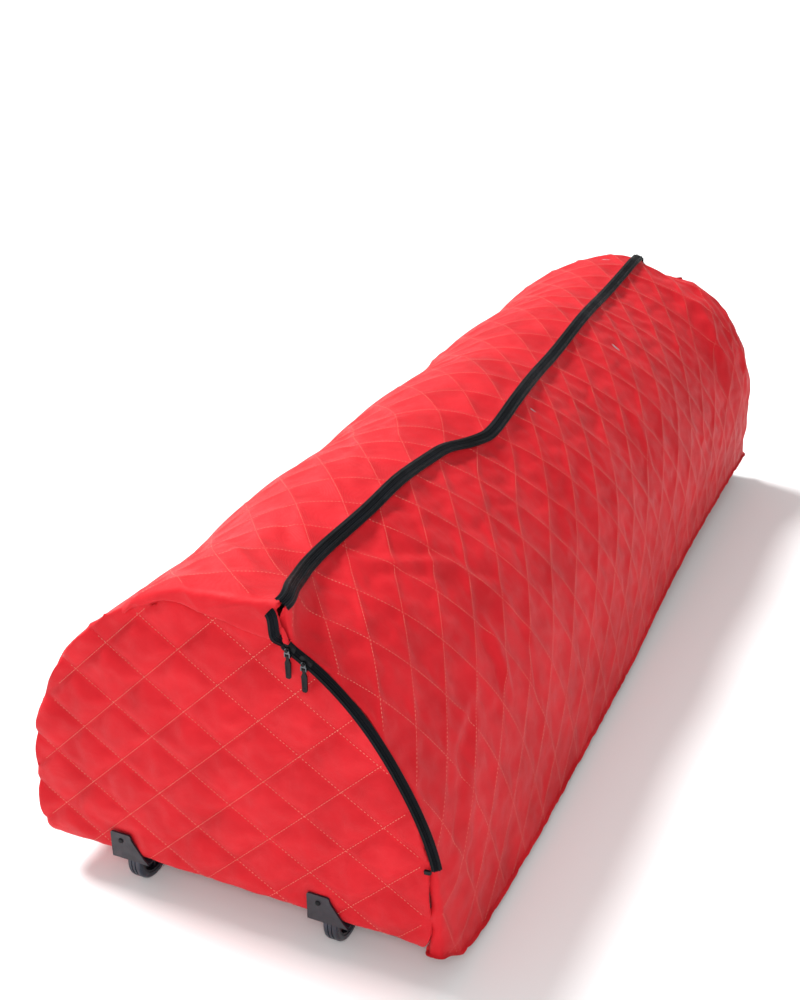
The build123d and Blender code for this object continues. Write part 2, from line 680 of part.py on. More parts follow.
def handle_rivets():
    """Washered rivets through the handle's two ends."""

    def rivet(x):
        front = HALF_LENGTH + GAP + WEB
        shank = rod_y(x, (HALF_LENGTH, front + 1), HANDLE_Z, 2.5)
        return shank + rod_y(x, (front, front + 1.6), HANDLE_Z, 7)

    return both_sides(rivet, 66.0)


# ---------------------------------------------------------------- electrics

LEAD_Y, LEAD_RADIUS = 840.0, 2.5
LEAD_UP_X, LEAD_UP_Y = -200.0, 740.0
BOX_X, BOX_Y, BOX_Z = (-260.0, -140.0), (800.0, 880.0), (68.0, 104.7)
BOX_WALL = 2.0


def controller_socket():
    """A round panel connector: a square flange, a threaded barrel outside and a shell inside."""
    face = HALF_LENGTH
    body = box((-13, 13), (face + GAP, face + 2.3), (-13, 13))
    body = fillet(body.edges().filter_by(Axis.Y), 3)
    body += rod_y(0, (face + 2, face + 2.3 + BARREL_LENGTH), 0, BARREL_RADIUS)
    body += rod_y(0, (face - 23, face + GAP), 0, BARREL_RADIUS - 0.5)
    body -= rod_y(0, (face - 24, face + 20), 0, BARREL_RADIUS - 1.7)
    for x in (-9.3, 9.3):
        for z in (-9.3, 9.3):
            body -= rod_y(x, (face, face + 4), z, 1.3)
    return Pos(SOCKET_X, 0, SOCKET_Z) * body


def socket_insert():
    """The insulating disc inside the barrel."""
    disc = rod_y(0, (HALF_LENGTH - 15, HALF_LENGTH + 2.3 + BARREL_LENGTH - 3), 0, BARREL_RADIUS - 1.75)
    for x, z in PIN_PLACES:
        disc -= rod_y(x, (HALF_LENGTH - 16, HALF_LENGTH + 20), z, 0.8)
    return Pos(SOCKET_X, 0, SOCKET_Z) * disc


PIN_PLACES = [(-2.5, -2.5), (2.5, -2.5), (-2.5, 2.5), (2.5, 2.5)]


def socket_pins():
    end = HALF_LENGTH + 2.3 + BARREL_LENGTH - 0.6
    return [rod_y(SOCKET_X + x, (HALF_LENGTH - 17, end), SOCKET_Z + z, 0.78) for x, z in PIN_PLACES]


def socket_screws():
    face = HALF_LENGTH + 2.3
    screws = []
    for x in (-9.3, 9.3):
        for z in (-9.3, 9.3):
            head = rod_y(SOCKET_X + x, (face, face + 1.6), SOCKET_Z + z, 2.4)
            slot = box((-3, 3), (face + 1, face + 2), (-0.4, 0.4))
            shank = rod_y(SOCKET_X + x, (HALF_LENGTH + 0.1, face), SOCKET_Z + z, 1.2)
            screws.append(head + shank - Pos(SOCKET_X + x, 0, SOCKET_Z + z) * slot)
    return screws


def junction_box():
    """A box with holes for the leads, closed on top by the board."""
    shell = box(BOX_X, BOX_Y, BOX_Z)
    hollow = [(a + BOX_WALL, b - BOX_WALL) for a, b in (BOX_X, BOX_Y)]
    shell -= box(hollow[0], hollow[1], (BOX_Z[0] + BOX_WALL, BOX_Z[1] + 1))
    shell -= rod_y(SOCKET_X, (BOX_Y[1] - 5, BOX_Y[1] + 1), SOCKET_Z, 3.1)
    shell -= rod_y(LEAD_UP_X, (BOX_Y[0] - 1, BOX_Y[0] + 5), SOCKET_Z, 2.6)
    shell -= rod_x((BOX_X[0] - 1, BOX_X[1] + 1), LEAD_Y, SOCKET_Z, 2.6)
    return shell


def thermal_cutout():
    """The bimetal switch on the junction box's floor."""
    body = rod_z(-180, 860, (BOX_Z[0] + BOX_WALL, BOX_Z[0] + BOX_WALL + 5), 8)
    height = (BOX_Z[0] + BOX_WALL + 5, BOX_Z[0] + BOX_WALL + 11)
    tags = box((-184, -182), (858, 862), height) + box((-178, -176), (858, 862), height)
    return body + tags


def bent_lead(points, radius):
    """A lead of round section that turns each corner of its route with one arc."""
    route = FilletPolyline(*points, radius=16)
    start, direction = route @ 0, route % 0
    return sweep(Plane(start, z_dir=direction) * Circle(radius), path=route)


def base_leads():
    """The leads from the socket to the junction box, and on to each film and to the hinge line."""
    supply = rod_y(SOCKET_X, (BOX_Y[1] - 12, HALF_LENGTH - 18), SOCKET_Z, 3.0)
    start, corner = (LEAD_UP_X, BOX_Y[0] + 8, SOCKET_Z), (LEAD_UP_X, LEAD_UP_Y, SOCKET_Z)
    mattress = bent_lead([start, corner, (LEAD_UP_X, LEAD_UP_Y, FOAM_TOP)], LEAD_RADIUS)
    x = -(HALF_WIDTH - RIB_DEPTH + 1)
    start, corner = (BOX_X[0] + 8, LEAD_Y, SOCKET_Z), (x, LEAD_Y, SOCKET_Z)
    left = bent_lead([start, corner, (x, LEAD_Y, SPRING_LINE + 30)], LEAD_RADIUS)
    flap = rod_x((BOX_X[1] - 8, RAIL_OUTER + 1), LEAD_Y, SOCKET_Z, LEAD_RADIUS)
    return [supply, mattress, left, flap]


def flap_lead():
    """The stretch of lead inside the flap, from above its rail to its film."""
    return rod_z(HALF_WIDTH - RIB_DEPTH, LEAD_Y, (FLAP_RAIL_Z[1] + GAP, SPRING_LINE + 30), LEAD_RADIUS)


# ---------------------------------------------------------------- hinges


def hinge_leaf(y, plate_x, knuckles, clear_of):
    """A hinge leaf at y: a plate, its own knuckles, and clearance for the other leaf's."""
    plate = box(plate_x, (y - 30, y + 30), (HINGE_Z, LEAF_TOP))
    for low, high in clear_of:
        along = (y + low - 0.4, y + high + 0.4)
        plate -= box((HINGE_X - 9, HINGE_X + 9), along, (HINGE_Z - 1, HINGE_Z + KNUCKLE + 1.2))
    for low, high in knuckles:
        plate += rod_y(HINGE_X, (y + low, y + high), HINGE_Z, KNUCKLE)
    return plate - rod_y(HINGE_X, (y - 31, y + 31), HINGE_Z, PIN + RUN)


OUTER_KNUCKLES = [(-30, -15.3), (15.3, 30)]
INNER_KNUCKLE = [(-15, 15)]


def hinge_leaves_base():
    plate_x = (RAIL_OUTER, RAIL_OUTER + 1.5)
    return [hinge_leaf(y, plate_x, OUTER_KNUCKLES, INNER_KNUCKLE) for y in HINGE_PLACES]


def hinge_leaves_flap():
    plate_x = (FLAP_RAIL_X[0] - 1.5, FLAP_RAIL_X[0])
    return [hinge_leaf(y, plate_x, INNER_KNUCKLE, OUTER_KNUCKLES) for y in HINGE_PLACES]


def hinge_pins():
    """A headed pin for each hinge."""
    pins = []
    for y in HINGE_PLACES:
        shank = rod_y(HINGE_X, (y - 31, y + 31), HINGE_Z, PIN)
        pins.append(shank + rod_y(HINGE_X, (y - 32.5, y - 30.5), HINGE_Z, 3))
    return pins


# ---------------------------------------------------------------- the whole

PARTS = {
    "base_cover": base_cover(),
    "frame_rails": frame_rails(),
    "frame_crossbars": frame_crossbars(),
    "base_board": base_board(),
    "mattress_foam": mattress_foam(),
    "heater_base": heater_base(),
    "mattress_topper": mattress_topper(),
    "cover_left": shell_cover(LEFT_REGION),
    "lining_left": shell_lining(LEFT_REGION),
    "heater_left": shell_heater(-20),
    "ribs_left": ribs_left(),
    "rib_sockets": rib_sockets(),
    "foot_panel_cover": foot_panel_cover(),
    "foot_panel_board": foot_panel_board(),
    "head_panel_left": head_panel(LEFT_REGION),
    "head_base_panel": head_base_panel(),
    "neck_collar_left": neck_collar(LEFT_REGION),
    "zip_tape_fixed": zip_tape_fixed(),
    "zip_coil_fixed": zip_coil_fixed(),
    "zip_bottom_stop": zip_bottom_stop(),
    "wheel_housings": both_sides(wheel_housing, WHEEL_X),
    "wheel_axles": both_sides(wheel_axle, WHEEL_X),
    "housing_rivets": housing_rivets(),
    "flange_rivets": flange_rivets(),
    "rest_feet": rest_feet(),
    "rest_pads": rest_pads(),
    "carry_handle": carry_handle(),
    "handle_rivets": handle_rivets(),
    "controller_socket": controller_socket(),
    "socket_insert": socket_insert(),
    "socket_pins": socket_pins(),
    "socket_screws": socket_screws(),
    "junction_box": junction_box(),
    "thermal_cutout": thermal_cutout(),
    "base_leads": base_leads(),
    "hinge_leaves_base": hinge_leaves_base(),
    "hinge_pins": hinge_pins(),
    "cover_flap": shell_cover(FLAP_REGION),
    "lining_flap": shell_lining(FLAP_REGION),
    "heater_flap": shell_heater(20),
    "ribs_flap": ribs_flap(),
    "flap_rail": flap_rail(),
    "flap_lead": flap_lead(),
    "hinge_leaves_flap": hinge_leaves_flap(),
    "head_panel_flap": head_panel(FLAP_REGION),
    "neck_collar_flap": neck_collar(FLAP_REGION),
    "zip_tape_flap": zip_tape_flap(),
    "zip_coil_flap": zip_coil_flap(),
}
for side_name, side_x in (("left", -WHEEL_X), ("right", WHEEL_X)):
    PARTS[f"wheel_tyre_{side_name}"] = wheel_tyre(side_x)
    PARTS[f"wheel_hub_{side_name}"] = wheel_hub(side_x)
    PARTS[f"wheel_bearings_{side_name}"] = wheel_bearings(side_x)
for slider_name, slider_angle in SLIDERS.items():
    PARTS[f"{slider_name}_slider"] = slider(slider_angle)
    PARTS[f"{slider_name}_pull_shackle"] = pull_shackle(slider_angle)
    PARTS[f"{slider_name}_pull_tab"] = pull_tab(slider_angle)

os.makedirs("parts", exist_ok=True)
for name, shape in PARTS.items():
    solids = shape if isinstance(shape, list) else [shape]
    export_step(Compound(children=[Compound(s.solids()) for s in solids]), f"parts/{name}.step")
print(len(PARTS), "nodes written")
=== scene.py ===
"""The looks of the sauna blanket: quilted covers, zip, lining, mattress, collar, handle and materials.

All lengths are in metres. The tunnel's cloth is laid out by two numbers: s, the way round the cross
section from the right lower edge over the ridge to the left one, and y, the place along the length.
The foot end is at low y.
"""

from math import atan2, cos, hypot, pi, radians, sin, sqrt

import bmesh
import bpy
import numpy as np
from mathutils import Matrix, Vector
from mathutils.bvhtree import BVHTree


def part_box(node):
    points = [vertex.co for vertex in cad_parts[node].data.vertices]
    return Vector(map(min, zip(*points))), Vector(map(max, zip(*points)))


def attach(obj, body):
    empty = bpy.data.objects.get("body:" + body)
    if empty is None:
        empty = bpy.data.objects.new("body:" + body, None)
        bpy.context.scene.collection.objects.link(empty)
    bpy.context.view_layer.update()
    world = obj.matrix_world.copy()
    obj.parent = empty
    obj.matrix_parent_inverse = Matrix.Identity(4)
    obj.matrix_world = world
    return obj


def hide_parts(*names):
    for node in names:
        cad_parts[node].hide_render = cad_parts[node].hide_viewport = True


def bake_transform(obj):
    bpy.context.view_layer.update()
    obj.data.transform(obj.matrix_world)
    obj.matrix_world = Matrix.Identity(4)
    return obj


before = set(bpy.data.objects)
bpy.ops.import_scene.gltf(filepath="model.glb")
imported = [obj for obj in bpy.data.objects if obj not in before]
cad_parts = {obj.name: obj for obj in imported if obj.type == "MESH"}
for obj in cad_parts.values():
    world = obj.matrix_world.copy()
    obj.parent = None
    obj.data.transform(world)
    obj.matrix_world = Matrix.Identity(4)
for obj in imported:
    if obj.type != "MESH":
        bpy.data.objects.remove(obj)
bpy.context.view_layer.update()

# ---------------------------------------------------------------- sizes taken from the frame

COVER_LOW, COVER_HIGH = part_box("cover_left")
HALF_LENGTH = COVER_HIGH.y
HALF_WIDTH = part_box("cover_flap")[1].x
BASE = COVER_LOW.z
SPRING_LINE = 0.165
SIDE_RADIUS, TOP_RADIUS = 0.428, 0.200
SIDE_CENTRE = SIDE_RADIUS - HALF_WIDTH
TOP_CENTRE = SPRING_LINE + sqrt((SIDE_RADIUS - TOP_RADIUS) ** 2 - SIDE_CENTRE**2)
SIDE_END = atan2(TOP_CENTRE - SPRING_LINE, SIDE_CENTRE)
HEM_ROLL = 0.012  # radius of the turn under the base


# ---------------------------------------------------------------- small numeric helpers


def smooth(low, high, value):
    """0 below low, 1 above high, and an even ease between."""
    t = np.clip((np.asarray(value, float) - low) / (high - low), 0, 1)
    return t * t * (3 - 2 * t)


def bump(value, middle, width):
    return np.exp(-(((np.asarray(value, float) - middle) / width) ** 2))


def through(value, knots):
    """A smooth curve through (place, height) knots, level beyond the ends."""
    xs, ys = (np.array(k, float) for k in zip(*knots))
    slope = np.zeros_like(ys)
    slope[1:-1] = (ys[2:] - ys[:-2]) / (xs[2:] - xs[:-2])
    v = np.clip(np.asarray(value, float), xs[0], xs[-1])
    i = np.clip(np.searchsorted(xs, v) - 1, 0, len(xs) - 2)
    h = xs[i + 1] - xs[i]
    t = (v - xs[i]) / h
    a, b = ys[i] * (1 + 2 * t) * (1 - t) ** 2, ys[i + 1] * t * t * (3 - 2 * t)
    return a + b + h * (slope[i] * t * (1 - t) ** 2 - slope[i + 1] * t * t * (1 - t))


def hashed(i, j, seed=0):
    """A fixed number from 0 to 1 for each cell of a lattice."""
    n = np.sin(i * 127.1 + j * 311.7 + seed * 74.7) * 43758.5453
    return n - np.floor(n)


def value_noise(u, v, seed=0):
    """Smooth noise from -1 to 1 with features about one unit wide."""
    i, j = np.floor(u), np.floor(v)
    fu, fv = u - i, v - j
    fu, fv = fu * fu * (3 - 2 * fu), fv * fv * (3 - 2 * fv)
    low = hashed(i, j, seed) * (1 - fu) + hashed(i + 1, j, seed) * fu
    high = hashed(i, j + 1, seed) * (1 - fu) + hashed(i + 1, j + 1, seed) * fu
    return 2 * (low * (1 - fv) + high * fv) - 1


# ---------------------------------------------------------------- the tunnel's resting shape


def hull_table(samples=6000):
    """Places and outward angles round the cross section, and the way round to the left lower edge."""
    leg = SPRING_LINE - BASE
    side, top = SIDE_RADIUS * SIDE_END, TOP_RADIUS * (pi - 2 * SIDE_END)
    lengths = [leg, side, top, side, leg - HEM_ROLL, HEM_ROLL * pi / 2, 0.03]
    turns = [0, SIDE_END, pi - 2 * SIDE_END, SIDE_END, 0, pi / 2, 0]
    s = np.linspace(0, sum(lengths), samples)
    angle = np.interp(s, np.cumsum([0] + lengths), np.cumsum([0] + turns))
    step = s[1]
    middle = (angle[1:] + angle[:-1]) / 2
    x = HALF_WIDTH - np.concatenate([[0], np.cumsum(np.sin(middle) * step)])
    z = BASE + np.concatenate([[0], np.cumsum(np.cos(middle) * step)])
    return s, x, z, angle, leg + side + top + side + leg - HEM_ROLL


TABLE_S, TABLE_X, TABLE_Z, TABLE_ANGLE, LEFT_EDGE = hull_table()


def hull(s):
    x, z = np.interp(s, TABLE_S, TABLE_X), np.interp(s, TABLE_S, TABLE_Z)
    angle = np.interp(s, TABLE_S, TABLE_ANGLE)
    return x, z, np.cos(angle), np.sin(angle)


# Where the ridge zip wanders, as (y, x), and how far the cloth sags there between the hoops, as (y, depth)
ZIP_TRACK = [
    (-1.0, 0.107), (-0.95, 0.097), (-0.90, 0.088), (-0.85, 0.080), (-0.78, 0.076), (-0.64, 0.078),
    (-0.52, 0.076), (-0.395, 0.081), (-0.345, 0.086), (-0.285, 0.104), (-0.235, 0.116),
    (-0.205, 0.118), (-0.15, 0.115), (-0.07, 0.108), (0.08, 0.097), (0.22, 0.090), (0.46, 0.076),
    (0.70, 0.066), (0.88, 0.059), (1.0, 0.056),
]
ZIP_SAG = [
    (-0.55, 0.0), (-0.36, 0.010), (-0.24, 0.017), (-0.04, 0.008), (0.19, 0.015), (0.42, 0.008),
    (0.65, 0.015), (0.88, 0.008), (1.0, 0.010),
]
# The flap's free hem: how far out and how high it hangs, as (y, value)
HEM_X = [
    (-1.0, 0.360), (-0.95, 0.369), (-0.88, 0.372), (-0.6, 0.372), (-0.45, 0.369), (-0.1, 0.363),
    (0.15, 0.356), (0.45, 0.352), (0.8, 0.350), (1.0, 0.350),
]
HEM_Z = [
    (-1.0, 0.060), (-0.95, 0.034), (-0.86, 0.022), (-0.45, 0.020), (-0.05, 0.026), (0.2, 0.044),
    (0.45, 0.060), (1.0, 0.062),
]
# The rim that stands up beside the zip's corner at the foot end, as (distance from the zip, height)
RIM_LEFT = [(0.0, 0.046), (0.035, 0.030), (0.075, 0.016), (0.13, 0.009), (0.17, 0.011), (0.30, 0.0)]
RIM_REACH = 0.10
# The hood that hangs from the rim over the foot panel: its drop, as (distance from the zip, drop)
HOOD_DROP = [
    (0.0, 0.056), (0.035, 0.052), (0.075, 0.036), (0.11, 0.026), (0.16, 0.016), (0.21, 0.007), (0.26, 0.003),
]


def s_at_x(x):
    """The way round to a place on the upper right of the hull."""
    half = len(TABLE_S) // 2
    return np.interp(-np.asarray(x, float), -TABLE_X[:half], TABLE_S[:half])


def zip_s(y):
    return s_at_x(through(y, ZIP_TRACK))


HOOPS = (-0.96, 0.46)  # the first rib and the distance from each to the next
HEAD_DROP = 0.046  # how far the cloth sinks past the last rib


def between_hoops(y):
    """0 at a rib and 1 midway between two."""
    return 0.5 - 0.5 * np.cos(2 * pi * (y - HOOPS[0]) / HOOPS[1])


def sag(s, from_zip, y):
    """How far the cloth sinks between the hoops and at the head end, as a negative lift."""
    spans = between_hoops(y)
    lift = -through(y, ZIP_SAG) * bump(from_zip, 0, 0.17)
    lift -= 0.010 * bump(from_zip, -0.11, 0.07) * smooth(-0.75, -0.3, y) * (1 - smooth(0.3, 0.8, y))
    lift -= 0.010 * spans * bump(s, 1.0, 0.35)
    lift -= 0.008 * spans * bump(s, 0.42, 0.22) * smooth(-0.6, -0.3, y)
    # the left shoulder falls away behind the rim
    lift -= 0.010 * bump(y, -0.92, 0.05) * bump(s, 0.95, 0.18)
    lift -= 0.014 * bump(y, -0.78, 0.12) * bump(s, 1.0, 0.25)
    # the top drops past the last hoop, and the right side swells there
    lift -= 0.050 * smooth(0.88, 0.985, y) * smooth(0.48, 0.66, s) * (1 - 0.5 * smooth(0.95, 1.2, s))
    lift += 0.020 * smooth(0.74, 0.90, y) * bump(s, 0.34, 0.17)
    lift -= 0.010 * bump(y, 0.80, 0.05) * bump(s, 0.45, 0.22)
    return lift


def rim_lift(from_zip, y):
    """How far the rim stands up at the foot end."""
    near_foot = np.exp(-(((y + HALF_LENGTH) / RIM_REACH) ** 2))
    beside = RIM_LEFT[0][1] * bump(from_zip, 0, 0.022)
    return np.where(from_zip > 0, through(from_zip, RIM_LEFT), beside) * near_foot


def tunnel(s, y):
    """The cloth's resting place before quilting: an array of points."""
    y = np.clip(y, -HALF_LENGTH - 0.02, HALF_LENGTH)
    s = np.asarray(s, float)
    x, z, nx, nz = hull(s)
    from_zip = s - zip_s(y)
    lift = sag(s, from_zip, y) + wrinkles(s, from_zip, y)
    deepest = 0.0075 + 0.009 * between_hoops(y) + HEAD_DROP * smooth(0.925, 0.985, y)
    lift = np.where(lift < 0, -deepest * np.tanh(-lift / deepest), lift)
    lift += 0.005 * bump(from_zip, 0, 0.016) * smooth(-0.95, -0.8, y)  # the zip's own ridge
    lift += rim_lift(from_zip, y)
    x = x + nx * lift + (through(y, HEM_X) - HALF_WIDTH) * (1 - smooth(0.0, 0.42, s)) ** 1.5
    z = z + nz * lift + (through(y, HEM_Z) - BASE) * (1 - smooth(0.0, 0.30, s)) ** 1.5
    return np.stack([x, y + 0 * x, z], -1)


# Creases as (distance from the zip and y at one end, the same at the other, height, width).
# Negative distances are on the flap, and negative heights are furrows.
CREASES = [
    (-0.02, -0.80, -0.20, -0.55, 0.0045, 0.012), (-0.05, -0.70, -0.26, -0.50, -0.0040, 0.014),
    (-0.22, -0.62, -0.40, -0.66, 0.0045, 0.012), (-0.26, -0.52, -0.47, -0.60, -0.0035, 0.012),
    (-0.36, -0.90, -0.30, -0.74, 0.0045, 0.011), (-0.42, -0.93, -0.33, -0.78, -0.0040, 0.010),
    (-0.50, -0.96, -0.38, -0.80, 0.0040, 0.012), (-0.46, -0.985, -0.40, -0.90, -0.0030, 0.009),
    (-0.10, -0.10, -0.30, -0.30, 0.0040, 0.014), (-0.06, 0.02, -0.24, -0.16, -0.0040, 0.013),
    (-0.15, 0.30, -0.38, 0.18, 0.0035, 0.013), (-0.08, 0.62, -0.30, 0.70, 0.0040, 0.015),
    (-0.12, 0.90, -0.45, 0.80, 0.0050, 0.013), (-0.10, 0.96, -0.42, 0.88, -0.0045, 0.012),
    (-0.20, 0.99, -0.50, 0.93, 0.0045, 0.011), (-0.32, 0.50, -0.52, 0.62, 0.0035, 0.014),
    (0.05, -0.93, 0.20, -0.78, 0.0045, 0.012), (0.10, -0.97, 0.26, -0.84, -0.0040, 0.010),
    (0.03, -0.84, 0.14, -0.66, -0.0040, 0.011), (0.16, -0.99, 0.34, -0.88, 0.0040, 0.012),
    (0.06, -0.52, 0.20, -0.40, 0.0040, 0.014), (0.04, -0.18, 0.22, -0.30, 0.0040, 0.013),
    (0.10, 0.15, 0.26, 0.02, 0.0035, 0.014), (0.05, 0.50, 0.24, 0.60, 0.0040, 0.014),
    (0.05, 0.86, 0.26, 0.95, -0.0040, 0.012), (0.30, 0.30, 0.50, 0.42, 0.0040, 0.015),
    (0.34, -0.40, 0.52, -0.52, 0.0040, 0.015), (0.40, 0.80, 0.60, 0.90, 0.0040, 0.013),
]


def wrinkles(s, from_zip, y):
    """Creases that wander a little, and a slow unevenness of the wadding."""
    total = 0.003 * value_noise(s * 7, y * 5, 3) * smooth(0.0, 0.1, s)
    wander = 0.010 * value_noise(from_zip * 14, y * 14, 9)
    for p0, y0, p1, y1, depth, width in CREASES:
        dp, dy = p1 - p0, y1 - y0
        length = hypot(dp, dy)
        along = ((from_zip - p0) * dp + (y - y0) * dy) / length
        across = ((from_zip - p0) * dy - (y - y0) * dp) / length + wander
        ends = smooth(-0.01, 0.35 * length, along) * (1 - smooth(0.65 * length, length + 0.01, along))
        total += depth * ends * (bump(across, 0, width) - 0.45 * bump(across, -1.8 * width, width))
    return total


def inward(s):
    """The direction into the tunnel, across its section."""
    _, _, nx, nz = hull(s)
    return np.stack([-nx, 0 * nx, -nz], -1)


def rolled_end(point, normal_in, past, radius, drop, tuck, toward):
    """Cloth that turns over the tunnel's end, hangs by drop, and tucks back.

    past is the way along the cloth beyond the start of the turn. toward is -1 at the foot and 1 at the head.
    """
    turn = np.clip(past / (radius * pi / 2), 0, 1) * pi / 2
    down = np.clip(past - radius * pi / 2, 0, None)
    hanging = np.minimum(down, drop)
    tucked = np.clip(down - drop, 0, tuck)
    out = radius * np.sin(turn) - tucked * 0.9
    deep = radius * (1 - np.cos(turn)) + hanging + 0.15 * tucked
    point = point + normal_in * deep[:, None]
    point[:, 1] += toward * out
    return point


# ---------------------------------------------------------------- quilted cloth

def grid_quads(rows, columns):
    """The faces of a grid of vertices."""
    index = np.arange(rows * columns).reshape(rows, columns)
    return np.stack([index[:-1, :-1], index[1:, :-1], index[1:, 1:], index[:-1, 1:]], -1).reshape(-1, 4)


SUBDIVISIONS = 8  # of a diamond's side, before the final subdivision
PLATEAU = 3.2  # how flat a diamond's top is


class Quilt:
    """A quilting lattice laid on cloth, whose coordinates are (p, q)."""

    def __init__(self, first, second, origin, height, seed=0):
        self.basis = np.array([first, second], float).T
        self.inverse = np.linalg.inv(self.basis)
        self.origin = np.array(origin, float)
        self.height, self.seed = height, seed

    def cells(self, pq):
        return (pq - self.origin) @ self.inverse.T

    def puff(self, pq):
        """How far the wadding lifts the cloth off its seams."""
        ab = self.cells(pq)
        cell = np.floor(ab + 1e-6)
        f = np.clip(ab - cell, 0, 1)
        dome = (1 - np.abs(2 * f - 1) ** PLATEAU).prod(-1)
        share = 0.75 + 0.5 * hashed(cell[:, 0], cell[:, 1], self.seed)
        lean = (f[:, 0] - 0.5) * (hashed(cell[:, 0], cell[:, 1], self.seed + 1) - 0.5)
        return self.height * dome * (share + 0.7 * lean)

    def on_seam(self, pq):
        ab = self.cells(pq)
        return np.abs(ab - np.round(ab)).min(-1) < 1e-3

    def sheet(self, low, high, outline=()):
        """A flat mesh along the lattice, cut to a box and to the outline's half planes."""
        corners = np.array([(low[0], low[1]), (high[0], low[1]), (low[0], high[1]), (high[0], high[1])])
        ab = self.cells(corners)
        a0, b0 = np.floor(ab.min(0)).astype(int)
        a1, b1 = np.ceil(ab.max(0)).astype(int)
        n = SUBDIVISIONS
        i, j = np.meshgrid(np.arange(a0 * n, a1 * n + 1), np.arange(b0 * n, b1 * n + 1), indexing="ij")
        flat = np.stack([i.ravel() / n, j.ravel() / n], -1) @ self.basis.T + self.origin
        quads = grid_quads(*i.shape)
        margin = 0.03
        inside = (flat > np.array(low) - margin).all(-1) & (flat < np.array(high) + margin).all(-1)
        quads = quads[inside[quads].all(-1)]
        used = np.unique(quads)
        remap = np.full(len(flat), -1)
        remap[used] = np.arange(len(used))
        mesh = bpy.data.meshes.new("flat")
        mesh.from_pydata([(x, y, 0) for x, y in flat[used]], [], remap[quads].tolist())
        work = bmesh.new()
        work.from_mesh(mesh)
        bpy.data.meshes.remove(mesh)
        cuts = [((low[0], 0), (-1, 0)), ((high[0], 0), (1, 0))]
        cuts += [((0, low[1]), (0, -1)), ((0, high[1]), (0, 1))]
        for (px, py), (nx, ny) in cuts + list(outline):
            everything = work.verts[:] + work.edges[:] + work.faces[:]
            plane = {"plane_co": (px, py, 0), "plane_no": (nx, ny, 0)}
            bmesh.ops.bisect_plane(work, geom=everything, clear_outer=True, dist=1e-5, **plane)
        return work


def flat_coordinates(work):
    return np.array([v.co[:2] for v in work.verts], float).reshape(-1, 2)


def surface_normals(place, pq, eps=2e-4):
    """Outward normals of a mapped cloth, found by small steps."""
    along_p = place(pq + [eps, 0]) - place(pq - [eps, 0])
    along_q = place(pq + [0, eps]) - place(pq - [0, eps])
    n = np.cross(along_p, along_q)
    length = np.linalg.norm(n, axis=1, keepdims=True)
    return n / np.maximum(length, 1e-12)


def new_object(name, mesh):
    obj = bpy.data.objects.new(name, mesh)
    bpy.context.scene.collection.objects.link(obj)
    return obj


def shade_smooth(obj):
    obj.data.polygons.foreach_set("use_smooth", [True] * len(obj.data.polygons))
    obj.data.update()


def apply_modifiers(obj):
    graph = bpy.context.evaluated_depsgraph_get()
    mesh = bpy.data.meshes.new_from_object(obj.evaluated_get(graph), depsgraph=graph)
    obj.modifiers.clear()
    old = obj.data
    obj.data = mesh
    bpy.data.meshes.remove(old)


STITCH, STITCH_PITCH, THREAD = 0.0042, 0.0060, 0.0006


def settle(tree, points, normals):
    """Moves points along their normals on to a cloth's surface."""
    out = np.array(points)
    for k, (p, n) in enumerate(zip(points, normals)):
        way = Vector(n)
        hit = tree.ray_cast(Vector(p) + way * 0.012, -way, 0.022)[0]
        if hit is not None:
            out[k] = hit
    return out


def stitch_mesh(quilt, place, low, high, keep, flip, tree):
    """Thread stitches along every seam, as vertices and triangles."""
    corners = np.array([(low[0], low[1]), (high[0], low[1]), (low[0], high[1]), (high[0], high[1])])
    ab = quilt.cells(corners)
    starts, ends = [], []
    for axis in (0, 1):
        across, along = 1 - axis, axis
        length = np.linalg.norm(quilt.basis[:, along])
        step = STITCH_PITCH / length
        t = np.arange(np.floor(ab[:, along].min()), np.ceil(ab[:, along].max()), step)
        for line in range(int(np.floor(ab[:, across].min())), int(np.ceil(ab[:, across].max())) + 1):
            pair = np.zeros((2, len(t), 2))
            pair[:, :, across] = line
            pair[0, :, along] = t
            pair[1, :, along] = t + STITCH / length
            starts.append(pair[0] @ quilt.basis.T + quilt.origin)
            ends.append(pair[1] @ quilt.basis.T + quilt.origin)
    start, end = np.concatenate(starts), np.concatenate(ends)
    inside = [(p > np.array(low)).all(-1) & (p < np.array(high)).all(-1) & keep(p) for p in (start, end)]
    chosen = inside[0] & inside[1]
    start, end = start[chosen], end[chosen]
    normal = surface_normals(place, (start + end) / 2) * flip
    a, b = settle(tree, place(start), normal), settle(tree, place(end), normal)
    axis = b - a
    axis /= np.maximum(np.linalg.norm(axis, axis=1, keepdims=True), 1e-9)
    side = np.cross(axis, normal)
    middle = (a + b) / 2 + normal * THREAD * 0.5
    ring = [middle + way * THREAD for way in (side, normal, -side, -normal)]
    points = np.stack([a, *ring, b], 1).reshape(-1, 3)
    first_half = [(0, 1, 2), (0, 2, 3), (0, 3, 4), (0, 4, 1)]
    pattern = np.array(first_half + [(5, 2, 1), (5, 3, 2), (5, 4, 3), (5, 1, 4)])
    faces = (np.arange(len(a))[:, None, None] * 6 + pattern).reshape(-1, 3)
    return points, faces


def everywhere(pq):
    return np.ones(len(pq), bool)


